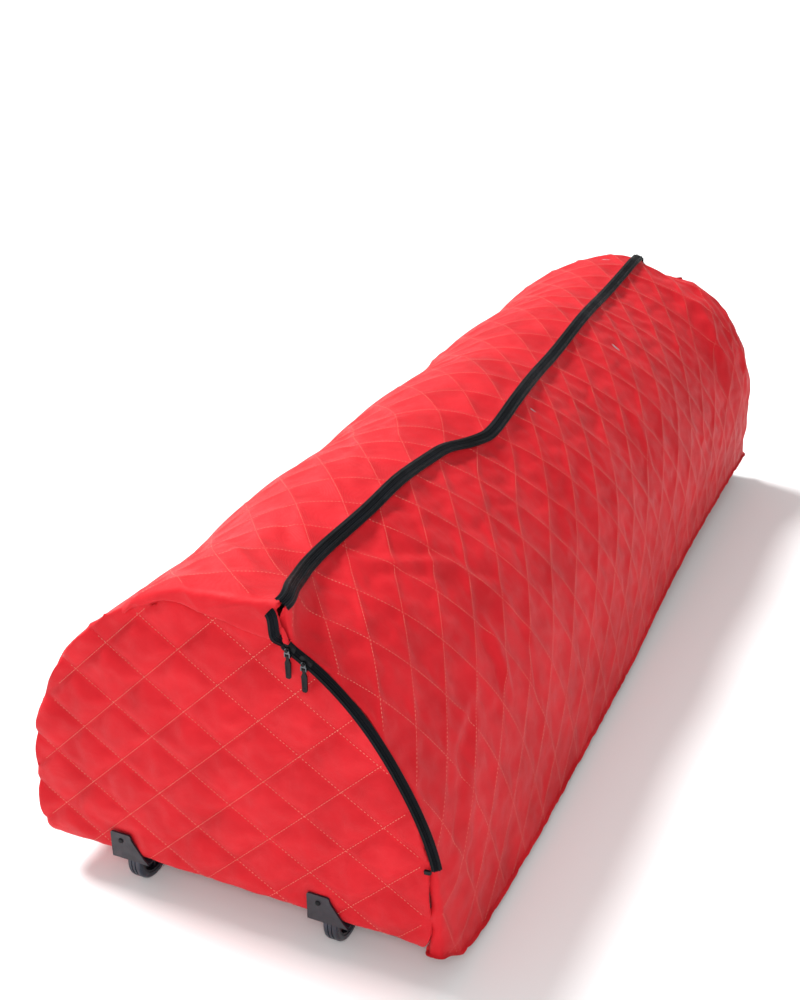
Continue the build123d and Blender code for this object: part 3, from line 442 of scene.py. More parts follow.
def quilted(
    name, quilt, place, low, high, outline=(), keep=everywhere, flip=1, hem=0.006, relief=None,
    drop_faces=None, threads=True, simulated=False,
):
    """Builds one quilted cloth: the sheet, its folded hem and its stitches, as one object.

    place maps cloth coordinates to space; flip is -1 where that mapping's own normal points inward.
    relief scales the quilting by place, drop_faces marks cloth to cut away, and keep marks where
    stitches go.
    """
    work = quilt.sheet(low, high, outline)
    if drop_faces is not None:
        centres = np.array([f.calc_center_median()[:2] for f in work.faces])
        faces = [f for f, gone in zip(work.faces[:], drop_faces(centres)) if gone]
        bmesh.ops.delete(work, geom=faces, context="FACES")
    pq = flat_coordinates(work)
    normal = surface_normals(place, pq) * flip
    scale = 1.0 if relief is None else relief(pq)
    height = quilt.puff(pq) * scale
    crease = 0.0012 * value_noise(pq[:, 0] * 60, pq[:, 1] * 45, 5) * (height / quilt.height)
    points = place(pq) + normal * (height + crease)[:, None]
    for v, co in zip(work.verts, points):
        v.co = co
    if flip < 0:
        bmesh.ops.reverse_faces(work, faces=work.faces[:])
    obj = new_object(name, bpy.data.meshes.new(name))
    work.to_mesh(obj.data)
    work.free()
    seam = quilt.on_seam(pq)
    if simulated:
        settle_under_pressure(obj, seam)
    sharpen_seams(obj.data, seam)
    finer = obj.modifiers.new("subdivide", "SUBSURF")
    finer.levels = finer.render_levels = 1
    apply_modifiers(obj)
    fold_hem(obj, hem)
    obj.data.materials.clear()
    obj.data.materials.append(MATERIALS["quilt"])
    if threads:
        tree = BVHTree.FromObject(obj, bpy.context.evaluated_depsgraph_get())
        add_geometry(obj, *stitch_mesh(quilt, place, low, high, keep, flip, tree), material=1)
        obj.data.materials.append(MATERIALS["thread"])
    shade_smooth(obj)
    return obj


SEAM_CREASE = 0.75
SETTLE_FRAMES = 14
SETTLE_LIMIT = 0.0028  # how far the simulation may move the cloth


def sharpen_seams(mesh, seam):
    """Keeps the seams crisp when the mesh is subdivided."""
    ends = np.empty(len(mesh.edges) * 2, int)
    mesh.edges.foreach_get("vertices", ends)
    sharp = seam[ends.reshape(-1, 2)].all(1)
    crease = mesh.attributes.new("crease_edge", "FLOAT", "EDGE")
    crease.data.foreach_set("value", sharp * SEAM_CREASE)


def coordinates(mesh):
    flat = np.empty(len(mesh.vertices) * 3)
    mesh.vertices.foreach_get("co", flat)
    return flat.reshape(-1, 3)


def free_border(mesh):
    """Marks the vertices on a mesh's open edges."""
    work = bmesh.new()
    work.from_mesh(mesh)
    border = np.array([v.is_boundary for v in work.verts])
    work.free()
    return border


def settle_under_pressure(obj, seam):
    """A cloth simulation: slack cloth between held seams and edges is blown out into small folds."""
    before = coordinates(obj.data)
    held = obj.vertex_groups.new(name="held")
    held.add([int(i) for i in np.nonzero(seam | free_border(obj.data))[0]], 1.0, "REPLACE")
    cloth = obj.modifiers.new("cloth", "CLOTH")
    cloth.point_cache.frame_start = 1
    cloth.point_cache.frame_end = SETTLE_FRAMES
    cloth.collision_settings.use_collision = False
    settings = cloth.settings
    settings.quality = 5
    settings.mass = 0.15
    settings.bending_stiffness = 0.2
    settings.vertex_group_mass = "held"
    settings.effector_weights.gravity = 0
    settings.use_pressure = True
    settings.uniform_pressure_force = 0.8
    settings.shrink_min = -0.035
    scene = bpy.context.scene
    for step in range(1, SETTLE_FRAMES + 1):
        scene.frame_set(step)
    apply_modifiers(obj)
    scene.frame_set(1)
    obj.vertex_groups.clear()
    move = coordinates(obj.data) - before
    size = np.linalg.norm(move, axis=1, keepdims=True)
    move *= SETTLE_LIMIT * np.tanh(size / SETTLE_LIMIT) / np.maximum(size, 1e-9)
    obj.data.vertices.foreach_set("co", (before + np.nan_to_num(move)).ravel())
    obj.data.update()


def fold_hem(obj, depth):
    """Turns a sheet's free edges in by depth, so that it has a thickness there."""
    work = bmesh.new()
    work.from_mesh(obj.data)
    work.normal_update()
    edges = [e for e in work.edges if e.is_boundary]
    made = bmesh.ops.extrude_edge_only(work, edges=edges)
    fresh = {g for g in made["geom"] if isinstance(g, bmesh.types.BMVert)}
    for v in fresh:
        partners = [e.other_vert(v) for e in v.link_edges if e.other_vert(v) not in fresh]
        v.co -= partners[0].normal * depth
    work.normal_update()
    work.to_mesh(obj.data)
    work.free()


def add_geometry(obj, points, faces, material=0):
    """Appends loose geometry to a mesh, with its own material slot."""
    mesh = obj.data
    work = bmesh.new()
    work.from_mesh(mesh)
    fresh = [work.verts.new(p) for p in points]
    for f in faces:
        made = work.faces.new([fresh[i] for i in f])
        made.material_index = material
    work.to_mesh(mesh)
    work.free()


# ---------------------------------------------------------------- materials


def nodes_of(material):
    tree = material.node_tree
    return tree.nodes, tree.links, tree.nodes["Principled BSDF"]


def object_place(material):
    return material.node_tree.nodes.new("ShaderNodeTexCoord").outputs["Object"]


def noise_texture(material, scale, detail=4.0, rough=0.6):
    nodes, links, _ = nodes_of(material)
    texture = nodes.new("ShaderNodeTexNoise")
    texture.inputs["Scale"].default_value = scale
    texture.inputs["Detail"].default_value = detail
    texture.inputs["Roughness"].default_value = rough
    links.new(object_place(material), texture.inputs["Vector"])
    return texture.outputs["Fac"]


def ramp(material, source, low, high, at=(0.35, 0.65)):
    """A two-colour ramp."""
    nodes, links, _ = nodes_of(material)
    node = nodes.new("ShaderNodeValToRGB")
    node.color_ramp.elements[0].position, node.color_ramp.elements[1].position = at
    node.color_ramp.elements[0].color = (*low, 1)
    node.color_ramp.elements[1].color = (*high, 1)
    links.new(source, node.inputs["Fac"])
    return node.outputs["Color"]


def bump_from(material, source, strength, distance, previous=None):
    nodes, links, _ = nodes_of(material)
    node = nodes.new("ShaderNodeBump")
    node.inputs["Strength"].default_value = strength
    node.inputs["Distance"].default_value = distance
    links.new(source, node.inputs["Height"])
    if previous is not None:
        links.new(previous, node.inputs["Normal"])
    return node.outputs["Normal"]


def math_node(material, operation, first, second):
    nodes, links, _ = nodes_of(material)
    node = nodes.new("ShaderNodeMath")
    node.operation = operation
    for socket, value in zip(node.inputs, (first, second)):
        if isinstance(value, (int, float)):
            socket.default_value = value
        else:
            links.new(value, socket)
    return node.outputs["Value"]


def weave(material, pitch):
    """Crossed yarns of a plain weave, as a height."""
    nodes, links, _ = nodes_of(material)
    bands = []
    for direction in ("X", "Y", "Z"):
        wave = nodes.new("ShaderNodeTexWave")
        wave.wave_type = "BANDS"
        wave.bands_direction = direction
        wave.inputs["Scale"].default_value = 0.3141593 / pitch
        wave.inputs["Distortion"].default_value = 0.4
        wave.inputs["Detail"].default_value = 1.0
        links.new(object_place(material), wave.inputs["Vector"])
        bands.append(wave.outputs["Fac"])
    crossed = math_node(material, "MULTIPLY", bands[0], bands[1])
    return math_node(material, "ADD", crossed, bands[2])


def plain_material(name, colour, roughness, metallic=0.0, **sockets):
    material = bpy.data.materials.new(name)
    material.use_nodes = True
    shader = material.node_tree.nodes["Principled BSDF"]
    shader.inputs["Base Color"].default_value = (*colour, 1)
    shader.inputs["Roughness"].default_value = roughness
    shader.inputs["Metallic"].default_value = metallic
    for socket, value in sockets.items():
        shader.inputs[socket.replace("_", " ")].default_value = value
    return material


def cloth_material(
    name, dark, light, roughness, sheen, pitch=0.0011, weave_depth=0.00025, specular=0.14
):
    """Woven nylon: mottled colour, a fine weave, uneven gloss and a soft sheen."""
    gloss_level = {"Sheen_Weight": sheen, "Sheen_Roughness": 0.45, "Specular_IOR_Level": specular}
    material = plain_material(name, light, roughness, **gloss_level)
    _, links, shader = nodes_of(material)
    shader.inputs["Sheen Tint"].default_value = (1.0, 0.62, 0.60, 1)
    links.new(ramp(material, noise_texture(material, 9, 5), dark, light), shader.inputs["Base Color"])
    gloss = ramp(material, noise_texture(material, 26, 3), (roughness - 0.07,) * 3, (roughness + 0.08,) * 3)
    links.new(gloss, shader.inputs["Roughness"])
    soft = bump_from(material, noise_texture(material, 55, 3), 0.35, 0.0018)
    links.new(bump_from(material, weave(material, pitch), 0.5, weave_depth, soft), shader.inputs["Normal"])
    return material


def moulded_material(name, dark, light, roughness, grain=420, depth=0.0002, **sockets):
    """Moulded plastic or enamel: a faint mottle and a fine grain."""
    material = plain_material(name, light, roughness, **sockets)
    _, links, shader = nodes_of(material)
    links.new(ramp(material, noise_texture(material, 35), dark, light), shader.inputs["Base Color"])
    gloss = ramp(material, noise_texture(material, 90, 3), (roughness - 0.06,) * 3, (roughness + 0.10,) * 3)
    links.new(gloss, shader.inputs["Roughness"])
    links.new(bump_from(material, noise_texture(material, grain, 2), 0.4, depth), shader.inputs["Normal"])
    return material


def metal_material(name, dark, light, roughness, streak=(2, 260, 2)):
    """Drawn or plated metal with fine streaks."""
    material = plain_material(name, light, roughness, metallic=1.0)
    nodes, links, shader = nodes_of(material)
    mapping = nodes.new("ShaderNodeMapping")
    mapping.inputs["Scale"].default_value = streak
    links.new(object_place(material), mapping.inputs["Vector"])
    texture = nodes.new("ShaderNodeTexNoise")
    texture.inputs["Scale"].default_value = 6
    links.new(mapping.outputs["Vector"], texture.inputs["Vector"])
    links.new(ramp(material, texture.outputs["Fac"], dark, light), shader.inputs["Base Color"])
    gloss = ramp(material, noise_texture(material, 60, 3), (roughness - 0.08,) * 3, (roughness + 0.1,) * 3)
    links.new(gloss, shader.inputs["Roughness"])
    return material


def wood_material(name):
    material = plain_material(name, (0.55, 0.38, 0.22), 0.6)
    nodes, links, shader = nodes_of(material)
    wave = nodes.new("ShaderNodeTexWave")
    wave.inputs["Scale"].default_value = 6
    wave.inputs["Distortion"].default_value = 6
    wave.inputs["Detail"].default_value = 3
    links.new(object_place(material), wave.inputs["Vector"])
    grain = ramp(material, wave.outputs["Fac"], (0.42, 0.27, 0.14), (0.62, 0.45, 0.27))
    links.new(grain, shader.inputs["Base Color"])
    links.new(bump_from(material, wave.outputs["Fac"], 0.3, 0.0004), shader.inputs["Normal"])
    return material


def make_materials():
    red = cloth_material("quilted_nylon", (0.48, 0.006, 0.012), (0.60, 0.012, 0.020), 0.55, 0.04)
    return {
        "quilt": red,
        "thread": moulded_material("pale_thread", (0.66, 0.24, 0.17), (0.80, 0.36, 0.26), 0.7),
        "lining": cloth_material("lining_nylon", (0.50, 0.012, 0.018), (0.62, 0.020, 0.028), 0.40, 0.12),
        "fleece": cloth_material(
            "collar_fleece", (0.36, 0.008, 0.014), (0.50, 0.014, 0.022), 0.85, 0.5, 0.0016, 0.0006
        ),
        "foam": cloth_material("cut_foam", (0.72, 0.69, 0.58), (0.84, 0.81, 0.70), 0.9, 0.0),
        "tape": cloth_material(
            "zip_tape", (0.0008, 0.0011, 0.002), (0.003, 0.004, 0.007), 0.38, 0.0, 0.0008, specular=0.09
        ),
        "coil": moulded_material("zip_coil", (0.010, 0.012, 0.017), (0.03, 0.034, 0.045), 0.25),
        "web": cloth_material(
            "webbing", (0.012, 0.012, 0.014), (0.030, 0.030, 0.033), 0.6, 0.1, 0.0018, 0.0005
        ),
        "enamel": moulded_material(
            "black_enamel", (0.003, 0.003, 0.004), (0.008, 0.008, 0.010), 0.5, Specular_IOR_Level=0.15
        ),
        "nickel": metal_material("dark_nickel", (0.05, 0.055, 0.06), (0.12, 0.125, 0.135), 0.25),
        "zinc": metal_material("zinc_plate", (0.50, 0.51, 0.53), (0.66, 0.67, 0.70), 0.34),
        "plastic": moulded_material("black_plastic", (0.006, 0.005, 0.010), (0.012, 0.010, 0.018), 0.48),
        "tread": moulded_material(
            "tread_rubber", (0.006, 0.009, 0.018), (0.020, 0.028, 0.050), 0.32, 300, 0.0003
        ),
        "rubber": moulded_material(
            "black_rubber", (0.016, 0.016, 0.018), (0.034, 0.034, 0.036), 0.7, 500, 0.0004
        ),
        "coated": moulded_material("powder_coat", (0.03, 0.03, 0.034), (0.055, 0.055, 0.06), 0.5),
        "film": moulded_material("carbon_film", (0.02, 0.02, 0.023), (0.05, 0.05, 0.055), 0.4, 700, 0.0001),
        "board": wood_material("plywood"),
        "fibre": moulded_material("fibreboard", (0.10, 0.10, 0.105), (0.17, 0.17, 0.175), 0.75, 240, 0.0004),
        "aluminium": metal_material("socket_alloy", (0.40, 0.41, 0.43), (0.56, 0.57, 0.59), 0.35),
        "brass": metal_material("contact_brass", (0.68, 0.48, 0.18), (0.85, 0.65, 0.30), 0.25),
        "phenolic": moulded_material("phenolic", (0.06, 0.035, 0.02), (0.12, 0.07, 0.04), 0.3),
    }


MATERIALS = make_materials()


NODE_FINISH = {
    "film": ["heater_base", "heater_left", "heater_flap"],
    "coated": ["frame_rails", "frame_crossbars", "flap_rail"],
    "zinc": [
        "ribs_left", "ribs_flap", "wheel_axles", "housing_rivets", "socket_screws", "hinge_leaves_base",
        "hinge_leaves_flap", "hinge_pins", "wheel_bearings_left", "wheel_bearings_right",
    ],
    "plastic": [
        "rib_sockets", "wheel_housings", "rest_feet", "socket_insert", "junction_box", "wheel_hub_left",
        "wheel_hub_right",
    ],
    "board": ["base_board"],
    "fibre": ["foot_panel_board"],
    "enamel": [
        "zip_bottom_stop", "flange_rivets", "handle_rivets", "arch_slider", "ridge_slider", "arch_pull_tab",
        "ridge_pull_tab",
    ],
    "nickel": ["arch_pull_shackle", "ridge_pull_shackle"],
    "rubber": ["rest_pads", "base_leads", "flap_lead"],
    "tread": ["wheel_tyre_left", "wheel_tyre_right"],
    "aluminium": ["controller_socket"],
    "brass": ["socket_pins"],
    "phenolic": ["thermal_cutout"],
}


def finish_cad_nodes():
    for finish, names in NODE_FINISH.items():
        for name in names:
            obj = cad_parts[name]
            obj.data.materials.clear()
            obj.data.materials.append(MATERIALS[finish])


# ---------------------------------------------------------------- covers of the tunnel

QUILT_A, QUILT_B = (0.074, 0.031), (-0.058, 0.068)  # seams as seen on the flap, from the zip down and along
FLAP_WIDTH, LEFT_WIDTH = 0.62, 0.80  # of the cloth, from the zip to the lower edge
FOOT_ROLL, FOOT_TUCK, HOOD_REACH = 0.012, 0.020, 0.011
FLAP_ROLL, FLAP_TUCK = 0.008, 0.012
HEAD_ROLL, HEAD_TUCK = 0.014, 0.020


def roll_ends(point, s, q, foot, head):
    """Turns the cloth over both ends of the tunnel.

    foot is the turn's (radius, drop, tuck, reach) there, and head its (radius, drop, tuck).
    """
    into = inward(s)
    past = np.clip(-HALF_LENGTH + foot[0] - foot[3] - q, 0, None)
    point = rolled_end(point, into, past, *foot[:3], -1)
    start = HALF_LENGTH - head[0]
    past = np.clip(q - start, 0, None)
    return rolled_end(point, into, past, *head, 1)


def flap_place(pq):
    p, q = pq[:, 0], pq[:, 1]
    y = np.clip(q, -HALF_LENGTH + FLAP_ROLL, HALF_LENGTH - HEAD_ROLL)
    s = zip_s(y) * (1 - p / FLAP_WIDTH)
    drop = 0.014 * (1 - smooth(0.12, 0.20, s)) + 0.022 * smooth(0.50, 0.56, s)
    return roll_ends(tunnel(s, y), s, q, (FLAP_ROLL, drop, FLAP_TUCK, 0), (HEAD_ROLL, 0 * p, HEAD_TUCK))


HOOD_LEAN = 0.75  # how much the hood slants toward the arch chain as it hangs


def left_place(pq):
    p, q = pq[:, 0], pq[:, 1]
    reach = HOOD_REACH * (1 - smooth(0.18, 0.30, p))
    y = np.clip(q, -HALF_LENGTH + FOOT_ROLL - reach, HALF_LENGTH - HEAD_ROLL)
    start = zip_s(y)
    s = start + (LEFT_EDGE - start) * p / LEFT_WIDTH
    drop = through(s - start, HOOD_DROP)
    foot = (FOOT_ROLL, drop, FOOT_TUCK, reach)
    point = roll_ends(tunnel(s, y), s, q, foot, (HEAD_ROLL, 0 * p, HEAD_TUCK))
    hanging = np.clip(-HALF_LENGTH + FOOT_ROLL * (1 - pi / 2) - reach - q, 0, drop)
    point[:, 0] += HOOD_LEAN * hanging * (1 - smooth(0.0, 0.09, s - start))
    return point


def hem_relief(pq):
    """Quilting is pressed flat where the hem is turned."""
    return 0.25 + 0.75 * (1 - smooth(FLAP_WIDTH - 0.05, FLAP_WIDTH, pq[:, 0]))


def off_ends(pq):
    """Stitches stop short of the turned ends."""
    return (pq[:, 1] > -HALF_LENGTH + 0.004) & (pq[:, 1] < HALF_LENGTH - 0.020)


def make_flap_cover():
    quilt = Quilt(QUILT_A, QUILT_B, (0.02, -0.75), 0.0038, seed=1)
    low = (0.004, -HALF_LENGTH + FLAP_ROLL - FLAP_ROLL * pi / 2 - FLAP_TUCK - 0.021)
    high = (FLAP_WIDTH, HALF_LENGTH - HEAD_ROLL + HEAD_ROLL * pi / 2 + HEAD_TUCK - 0.001)
    obj = quilted(
        "quilted_flap", quilt, flap_place, low, high, (), off_ends, -1, relief=hem_relief, simulated=True
    )
    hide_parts("cover_flap")
    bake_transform(obj)
    return obj


def make_left_cover():
    first, second = (-QUILT_A[0], QUILT_A[1]), (-QUILT_B[0], QUILT_B[1])
    quilt = Quilt(first, second, (0.04, -0.18), 0.0040, seed=2)
    hood = max(d for _, d in HOOD_DROP)
    low = (0.004, -HALF_LENGTH + FOOT_ROLL - FOOT_ROLL * pi / 2 - hood - FOOT_TUCK - HOOD_REACH + 0.001)
    high = (LEFT_WIDTH + 0.035, HALF_LENGTH - HEAD_ROLL + HEAD_ROLL * pi / 2 + HEAD_TUCK - 0.001)
    obj = quilted("quilted_left", quilt, left_place, low, high, (), off_ends, simulated=True)
    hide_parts("cover_left")
    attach(obj, "root")
    return obj


# ---------------------------------------------------------------- end panels

END_A, END_B = (0.065, -0.042), (0.061, 0.060)
END_CORNER = 0.045


def hull_outline(depth, count=44):
    """Half planes round the hull's section at a depth, as (point, outward normal)."""
    s = np.linspace(0.06, LEFT_EDGE - 0.05, count)
    x, z, nx, nz = hull(s)
    return [((a - nx_ * depth, b - nz_ * depth), (nx_, nz_)) for a, b, nx_, nz_ in zip(x, z, nx, nz)]


def follow_cover(x, z, reach=0.12):
    """Moves the head panel's border with the covers, which sink and swell at that end."""
    s = np.linspace(0.03, LEFT_EDGE - 0.02, 240)
    edge_x, edge_z, nx, nz = hull(s)
    shifted = tunnel(s, HALF_LENGTH + 0 * s)
    lift = (shifted[:, 0] - edge_x) * nx + (shifted[:, 2] - edge_z) * nz
    inside = (edge_x * nx + edge_z * nz)[None] - x[:, None] * nx[None] - z[:, None] * nz[None]
    nearest = inside.argmin(1)
    share = 1 - smooth(0.0, reach, inside.min(1))
    move = lift[nearest] * share
    return x + nx[nearest] * move, z + nz[nearest] * move


def within(p, outline, margin):
    """Marks the places inside an outline's half planes by a margin."""
    inside = np.ones(len(p), bool)
    for (px, pz), (nx, nz) in outline:
        inside &= (p[:, 0] - px) * nx + (p[:, 1] - pz) * nz < -margin
    return inside


def corner_outline(half, low, radius, count=6):
    """Half planes that round a panel's two lower corners."""
    planes = []
    for side in (-1, 1):
        for step in range(1, count):
            angle = -pi / 2 * step / count
            cx, cz = side * (half - radius), low + radius
            nx, nz = side * cos(angle), sin(angle)
            planes.append(((cx + nx * radius, cz + nz * radius), (nx, nz)))
    return planes


PANEL_UNDER = 0.030  # cloth that turns under the panel's lower edge
PANEL_ROLL = 0.012


def foot_panel_place(pq):
    """The foot panel: flat below, drawn back under the hood, and turned under at the bottom."""
    x, z = pq[:, 0], pq[:, 1]
    start = BASE + PANEL_ROLL
    past = np.clip(start - z, 0, None)
    turn = np.clip(past / (PANEL_ROLL * pi / 2), 0, 1) * pi / 2
    under = np.clip(past - PANEL_ROLL * pi / 2, 0, None)
    y = -HALF_LENGTH + 0.0035 + PANEL_ROLL * (1 - np.cos(turn)) + under
    height = np.maximum(z, start) - PANEL_ROLL * np.sin(turn)
    recess = 0.005 * smooth(0.42, 0.54, z)
    belly = -0.006 * bump(z, 0.25, 0.16) * bump(x, 0.0, 0.25)
    return np.stack([x, y + recess + belly, height], -1)


def foot_relief(pq):
    """Quilting dies away under the wheel flanges and at the turned edge."""
    x, z = pq[:, 0], pq[:, 1]
    across = np.minimum(np.abs(x + 0.191), np.abs(x - 0.161))
    flange = smooth(0.018, 0.050, np.maximum(across, (z - 0.09) * 1.2))
    return flange * smooth(BASE - 0.01, BASE + 0.03, z)


def make_foot_panel():
    quilt = Quilt(END_A, END_B, (0.018, 0.227), 0.0085, seed=3)
    depth = 0.007
    half = HALF_WIDTH - depth
    low, high = (-half, BASE - PANEL_UNDER), (half, COVER_HIGH.z)
    outline = hull_outline(depth) + corner_outline(half, BASE - 0.006, END_CORNER)

    def keep(p):
        return within(p, outline, 0.014)

    obj = quilted(
        "quilted_foot_panel", quilt, foot_panel_place, low, high, outline, keep,
        relief=foot_relief, simulated=True,
    )
    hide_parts("foot_panel_cover")
    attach(obj, "root")
    return obj


# ---------------------------------------------------------------- zip


def swept(centres, across, normals, profile):
    """Points of a cross section, given as (across, up) pairs, along a path."""
    profile = np.array(profile)
    sideways = across[:, None] * profile[None, :, :1]
    return centres[:, None] + sideways + normals[:, None] * profile[None, :, 1:]


def sweep_band(name, centres, across, normals, profile, material):
    """A strip with a cross section given as (across, up) pairs, along a path."""
    points = swept(centres, across, normals, profile)
    mesh = bpy.data.meshes.new(name)
    mesh.from_pydata(points.reshape(-1, 3).tolist(), [], grid_quads(*points.shape[:2]).tolist())
    mesh.materials.append(MATERIALS[material])
    obj = new_object(name, mesh)
    shade_smooth(obj)
    return obj


def resampled(points, step):
    """The same route with even steps."""
    gaps = np.linalg.norm(np.diff(points, axis=0), axis=1)
    along = np.concatenate([[0], np.cumsum(gaps)])
    count = max(3, int(along[-1] / step) + 1)
    even = np.linspace(0, along[-1], count)
    return np.stack([np.interp(even, along, points[:, k]) for k in range(3)], -1)


def unit(v):
    return v / np.maximum(np.linalg.norm(v, axis=-1, keepdims=True), 1e-12)


def ridge_route():
    """The ridge chain's path from the foot corner to the head panel, with its directions across and up."""
    y = np.linspace(-HALF_LENGTH - 0.008, HALF_LENGTH - 0.002, 500)
    s = zip_s(y)
    eps = 0.004
    route = tunnel(s, y)
    tangent = unit(np.gradient(route, axis=0))
    section = unit(tunnel(s - eps, y) - tunnel(s + eps, y))  # toward the flap
    normal = unit(np.cross(section, tangent))
    return route, unit(np.cross(tangent, normal)), normal


TAPE_PROFILE = [
    (0.0125, -0.0010), (0.0122, 0.0008), (0.0098, 0.0012), (0.0082, 0.0014), (0.0074, 0.0030),
    (0.0060, 0.0040), (0.0046, 0.0036), (0.0036, 0.0022), (0.0028, 0.0018), (0.0022, 0.0030),
    (0.0012, 0.0034), (-0.0002, 0.0024), (-0.0002, -0.0002),
]


def zip_halves(names, nodes, route, across, normal, width=1.0, height=1.0, lift=0.0):
    """Both halves of a stretch of zip, the flap's first. nodes are what they replace, if anything."""
    for side, name, node, body in zip((1, -1), names, nodes, ("flap", "root")):
        profile = [(side * a * width, h * height + lift) for a, h in TAPE_PROFILE]
        obj = sweep_band(name, route, across, normal, profile, "tape")
        if node is not None:
            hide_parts(node)
        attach(obj, body)


def make_ridge_zip():
    names, nodes = ("ridge_tape_flap", "ridge_tape_left"), ("zip_tape_flap", "zip_tape_fixed")
    zip_halves(names, nodes, *ridge_route(), lift=0.0030)


ARCH_LEAN, ARCH_SPREAD = -0.010, 0.005  # how far the chain leans left at its top and right below
ARCH_STEP = 0.014  # how far it stands forward at its top, in front of the hood
ARCH_TILT = radians(32)


def arch_route():
    """The arch chain's path at the foot end, from the corner down to the zip's end."""
    s = np.linspace(float(zip_s(-HALF_LENGTH)), 0.16, 260)
    y = np.full_like(s, -HALF_LENGTH + FLAP_ROLL)
    depth = 0.0075 - 0.004 * (1 - smooth(0.16, 0.36, s))
    route = tunnel(s, y) + inward(s) * depth[:, None]
    z = route[:, 2]
    route[:, 0] += ARCH_LEAN * smooth(0.50, 0.56, z) + ARCH_SPREAD * (1 - smooth(0.20, 0.36, z))
    route[:, 1] = -HALF_LENGTH - 0.004 - ARCH_STEP * smooth(0.532, 0.550, z)
    return s, route, unit(np.gradient(route, axis=0))


def make_arch_zip():
    s, route, tangent = arch_route()
    out = unit(-inward(s))
    forward = np.tile([0.0, -1.0, 0.0], (len(s), 1))
    normal = unit(forward * cos(ARCH_TILT) + out * sin(ARCH_TILT))
    across = unit(np.cross(tangent, normal))
    across *= np.sign((across * out).sum(-1, keepdims=True))
    names, nodes = ("arch_tape_flap", "arch_tape_fixed"), ("zip_coil_flap", "zip_coil_fixed")
    zip_halves(names, nodes, route, across, normal, 0.62, 0.8)


# ---------------------------------------------------------------- head end, base, mattress and linings

TOPPER_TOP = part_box("mattress_topper")[1].z
FOAM_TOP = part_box("mattress_foam")[1].z
BOARD_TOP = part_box("base_board")[1].z
NECK_RADIUS, NECK_CENTRE = 0.095, 0.280
SOCKET = (-0.230, 0.085)
SPLIT_FOOT, SPLIT_HEAD = (0.0, 0.379), (0.056, 0.571)  # the head panel's zip, as (x, z)
HALVES = ((-1, "left", "root"), (1, "flap", "flap"))  # of the head end, as (side, name, body)


def declared(obj, nodes, body):
    """Hides the frame's parts that a padded piece stands for, and hangs it on the body that it rides on."""
    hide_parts(*nodes)
    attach(obj, body)
    return obj


def neck_distance(x, z):
    """How far a place on the head panel is outside the neck opening; negative within it."""
    return np.where(z > NECK_CENTRE, np.hypot(x, z - NECK_CENTRE), np.abs(x)) - NECK_RADIUS


def head_place(pq):
    x, z = follow_cover(pq[:, 0], pq[:, 1])
    belly = 0.005 * bump(z, 0.28, 0.14) * bump(np.abs(x), 0.21, 0.09)
    return np.stack([x, HALF_LENGTH - 0.004 + belly, z], -1)


def head_relief(pq):
    """Quilting is pressed flat at the collar and beside the zip."""
    x, z = pq[:, 0], pq[:, 1]
    slope = (SPLIT_HEAD[0] - SPLIT_FOOT[0]) / (SPLIT_HEAD[1] - SPLIT_FOOT[1])
    middle = SPLIT_FOOT[0] + (z - SPLIT_FOOT[1]) * slope
    return smooth(0.0, 0.03, neck_distance(x, z)) * smooth(0.008, 0.03, np.abs(x - middle))


def make_head_panels():
    quilt = Quilt(END_A, END_B, (0.0, 0.30), 0.0070, seed=4)
    depth = 0.007
    half = HALF_WIDTH - depth
    low, high = (-half, TOPPER_TOP + 0.001), (half, COVER_HIGH.z)
    along = (SPLIT_HEAD[0] - SPLIT_FOOT[0], SPLIT_HEAD[1] - SPLIT_FOOT[1])
    across = (along[1] / hypot(*along), -along[0] / hypot(*along))

    def inside_opening(centres):
        return neck_distance(centres[:, 0], centres[:, 1]) < 0.001

    for side, ending, body in HALVES:
        split = (SPLIT_FOOT, (-side * across[0], -side * across[1]))
        outline = hull_outline(depth) + [split]

        def keep(p, outline=outline):
            return within(p, outline, 0.012) & (neck_distance(p[:, 0], p[:, 1]) > 0.004)

        obj = quilted(
            f"quilted_head_{ending}", quilt, head_place, low, high, outline, keep, -1,
            relief=head_relief, drop_faces=inside_opening,
        )
        declared(obj, [f"head_panel_{ending}"], body)


def base_end_place(pq):
    return np.stack([pq[:, 0], HALF_LENGTH - 0.0035 + 0 * pq[:, 0], pq[:, 1]], -1)


def base_end_relief(pq):
    """Quilting is pressed flat under the socket and the handle's ends."""
    x, z = pq[:, 0], pq[:, 1]
    socket = smooth(0.016, 0.045, np.maximum(np.abs(x - SOCKET[0]), np.abs(z - SOCKET[1])))
    handle = smooth(0.018, 0.045, np.hypot(np.abs(x) - HANDLE_END, z - HANDLE_Z))
    return socket * handle


def make_base_end():
    quilt = Quilt(END_A, END_B, (0.0, 0.30), 0.0070, seed=5)
    low, high = (-0.320, BASE + 0.001), (0.320, TOPPER_TOP - 0.001)
    obj = quilted("quilted_base_end", quilt, base_end_place, low, high, flip=-1, relief=base_end_relief)
    declared(obj, ["head_base_panel"], "root")


WHEEL_X = 0.176
WELL = (0.020, -0.895)  # half width of a wheel well's hole in the base cover, and where it ends
REST_FOOT = (0.25, 0.955)


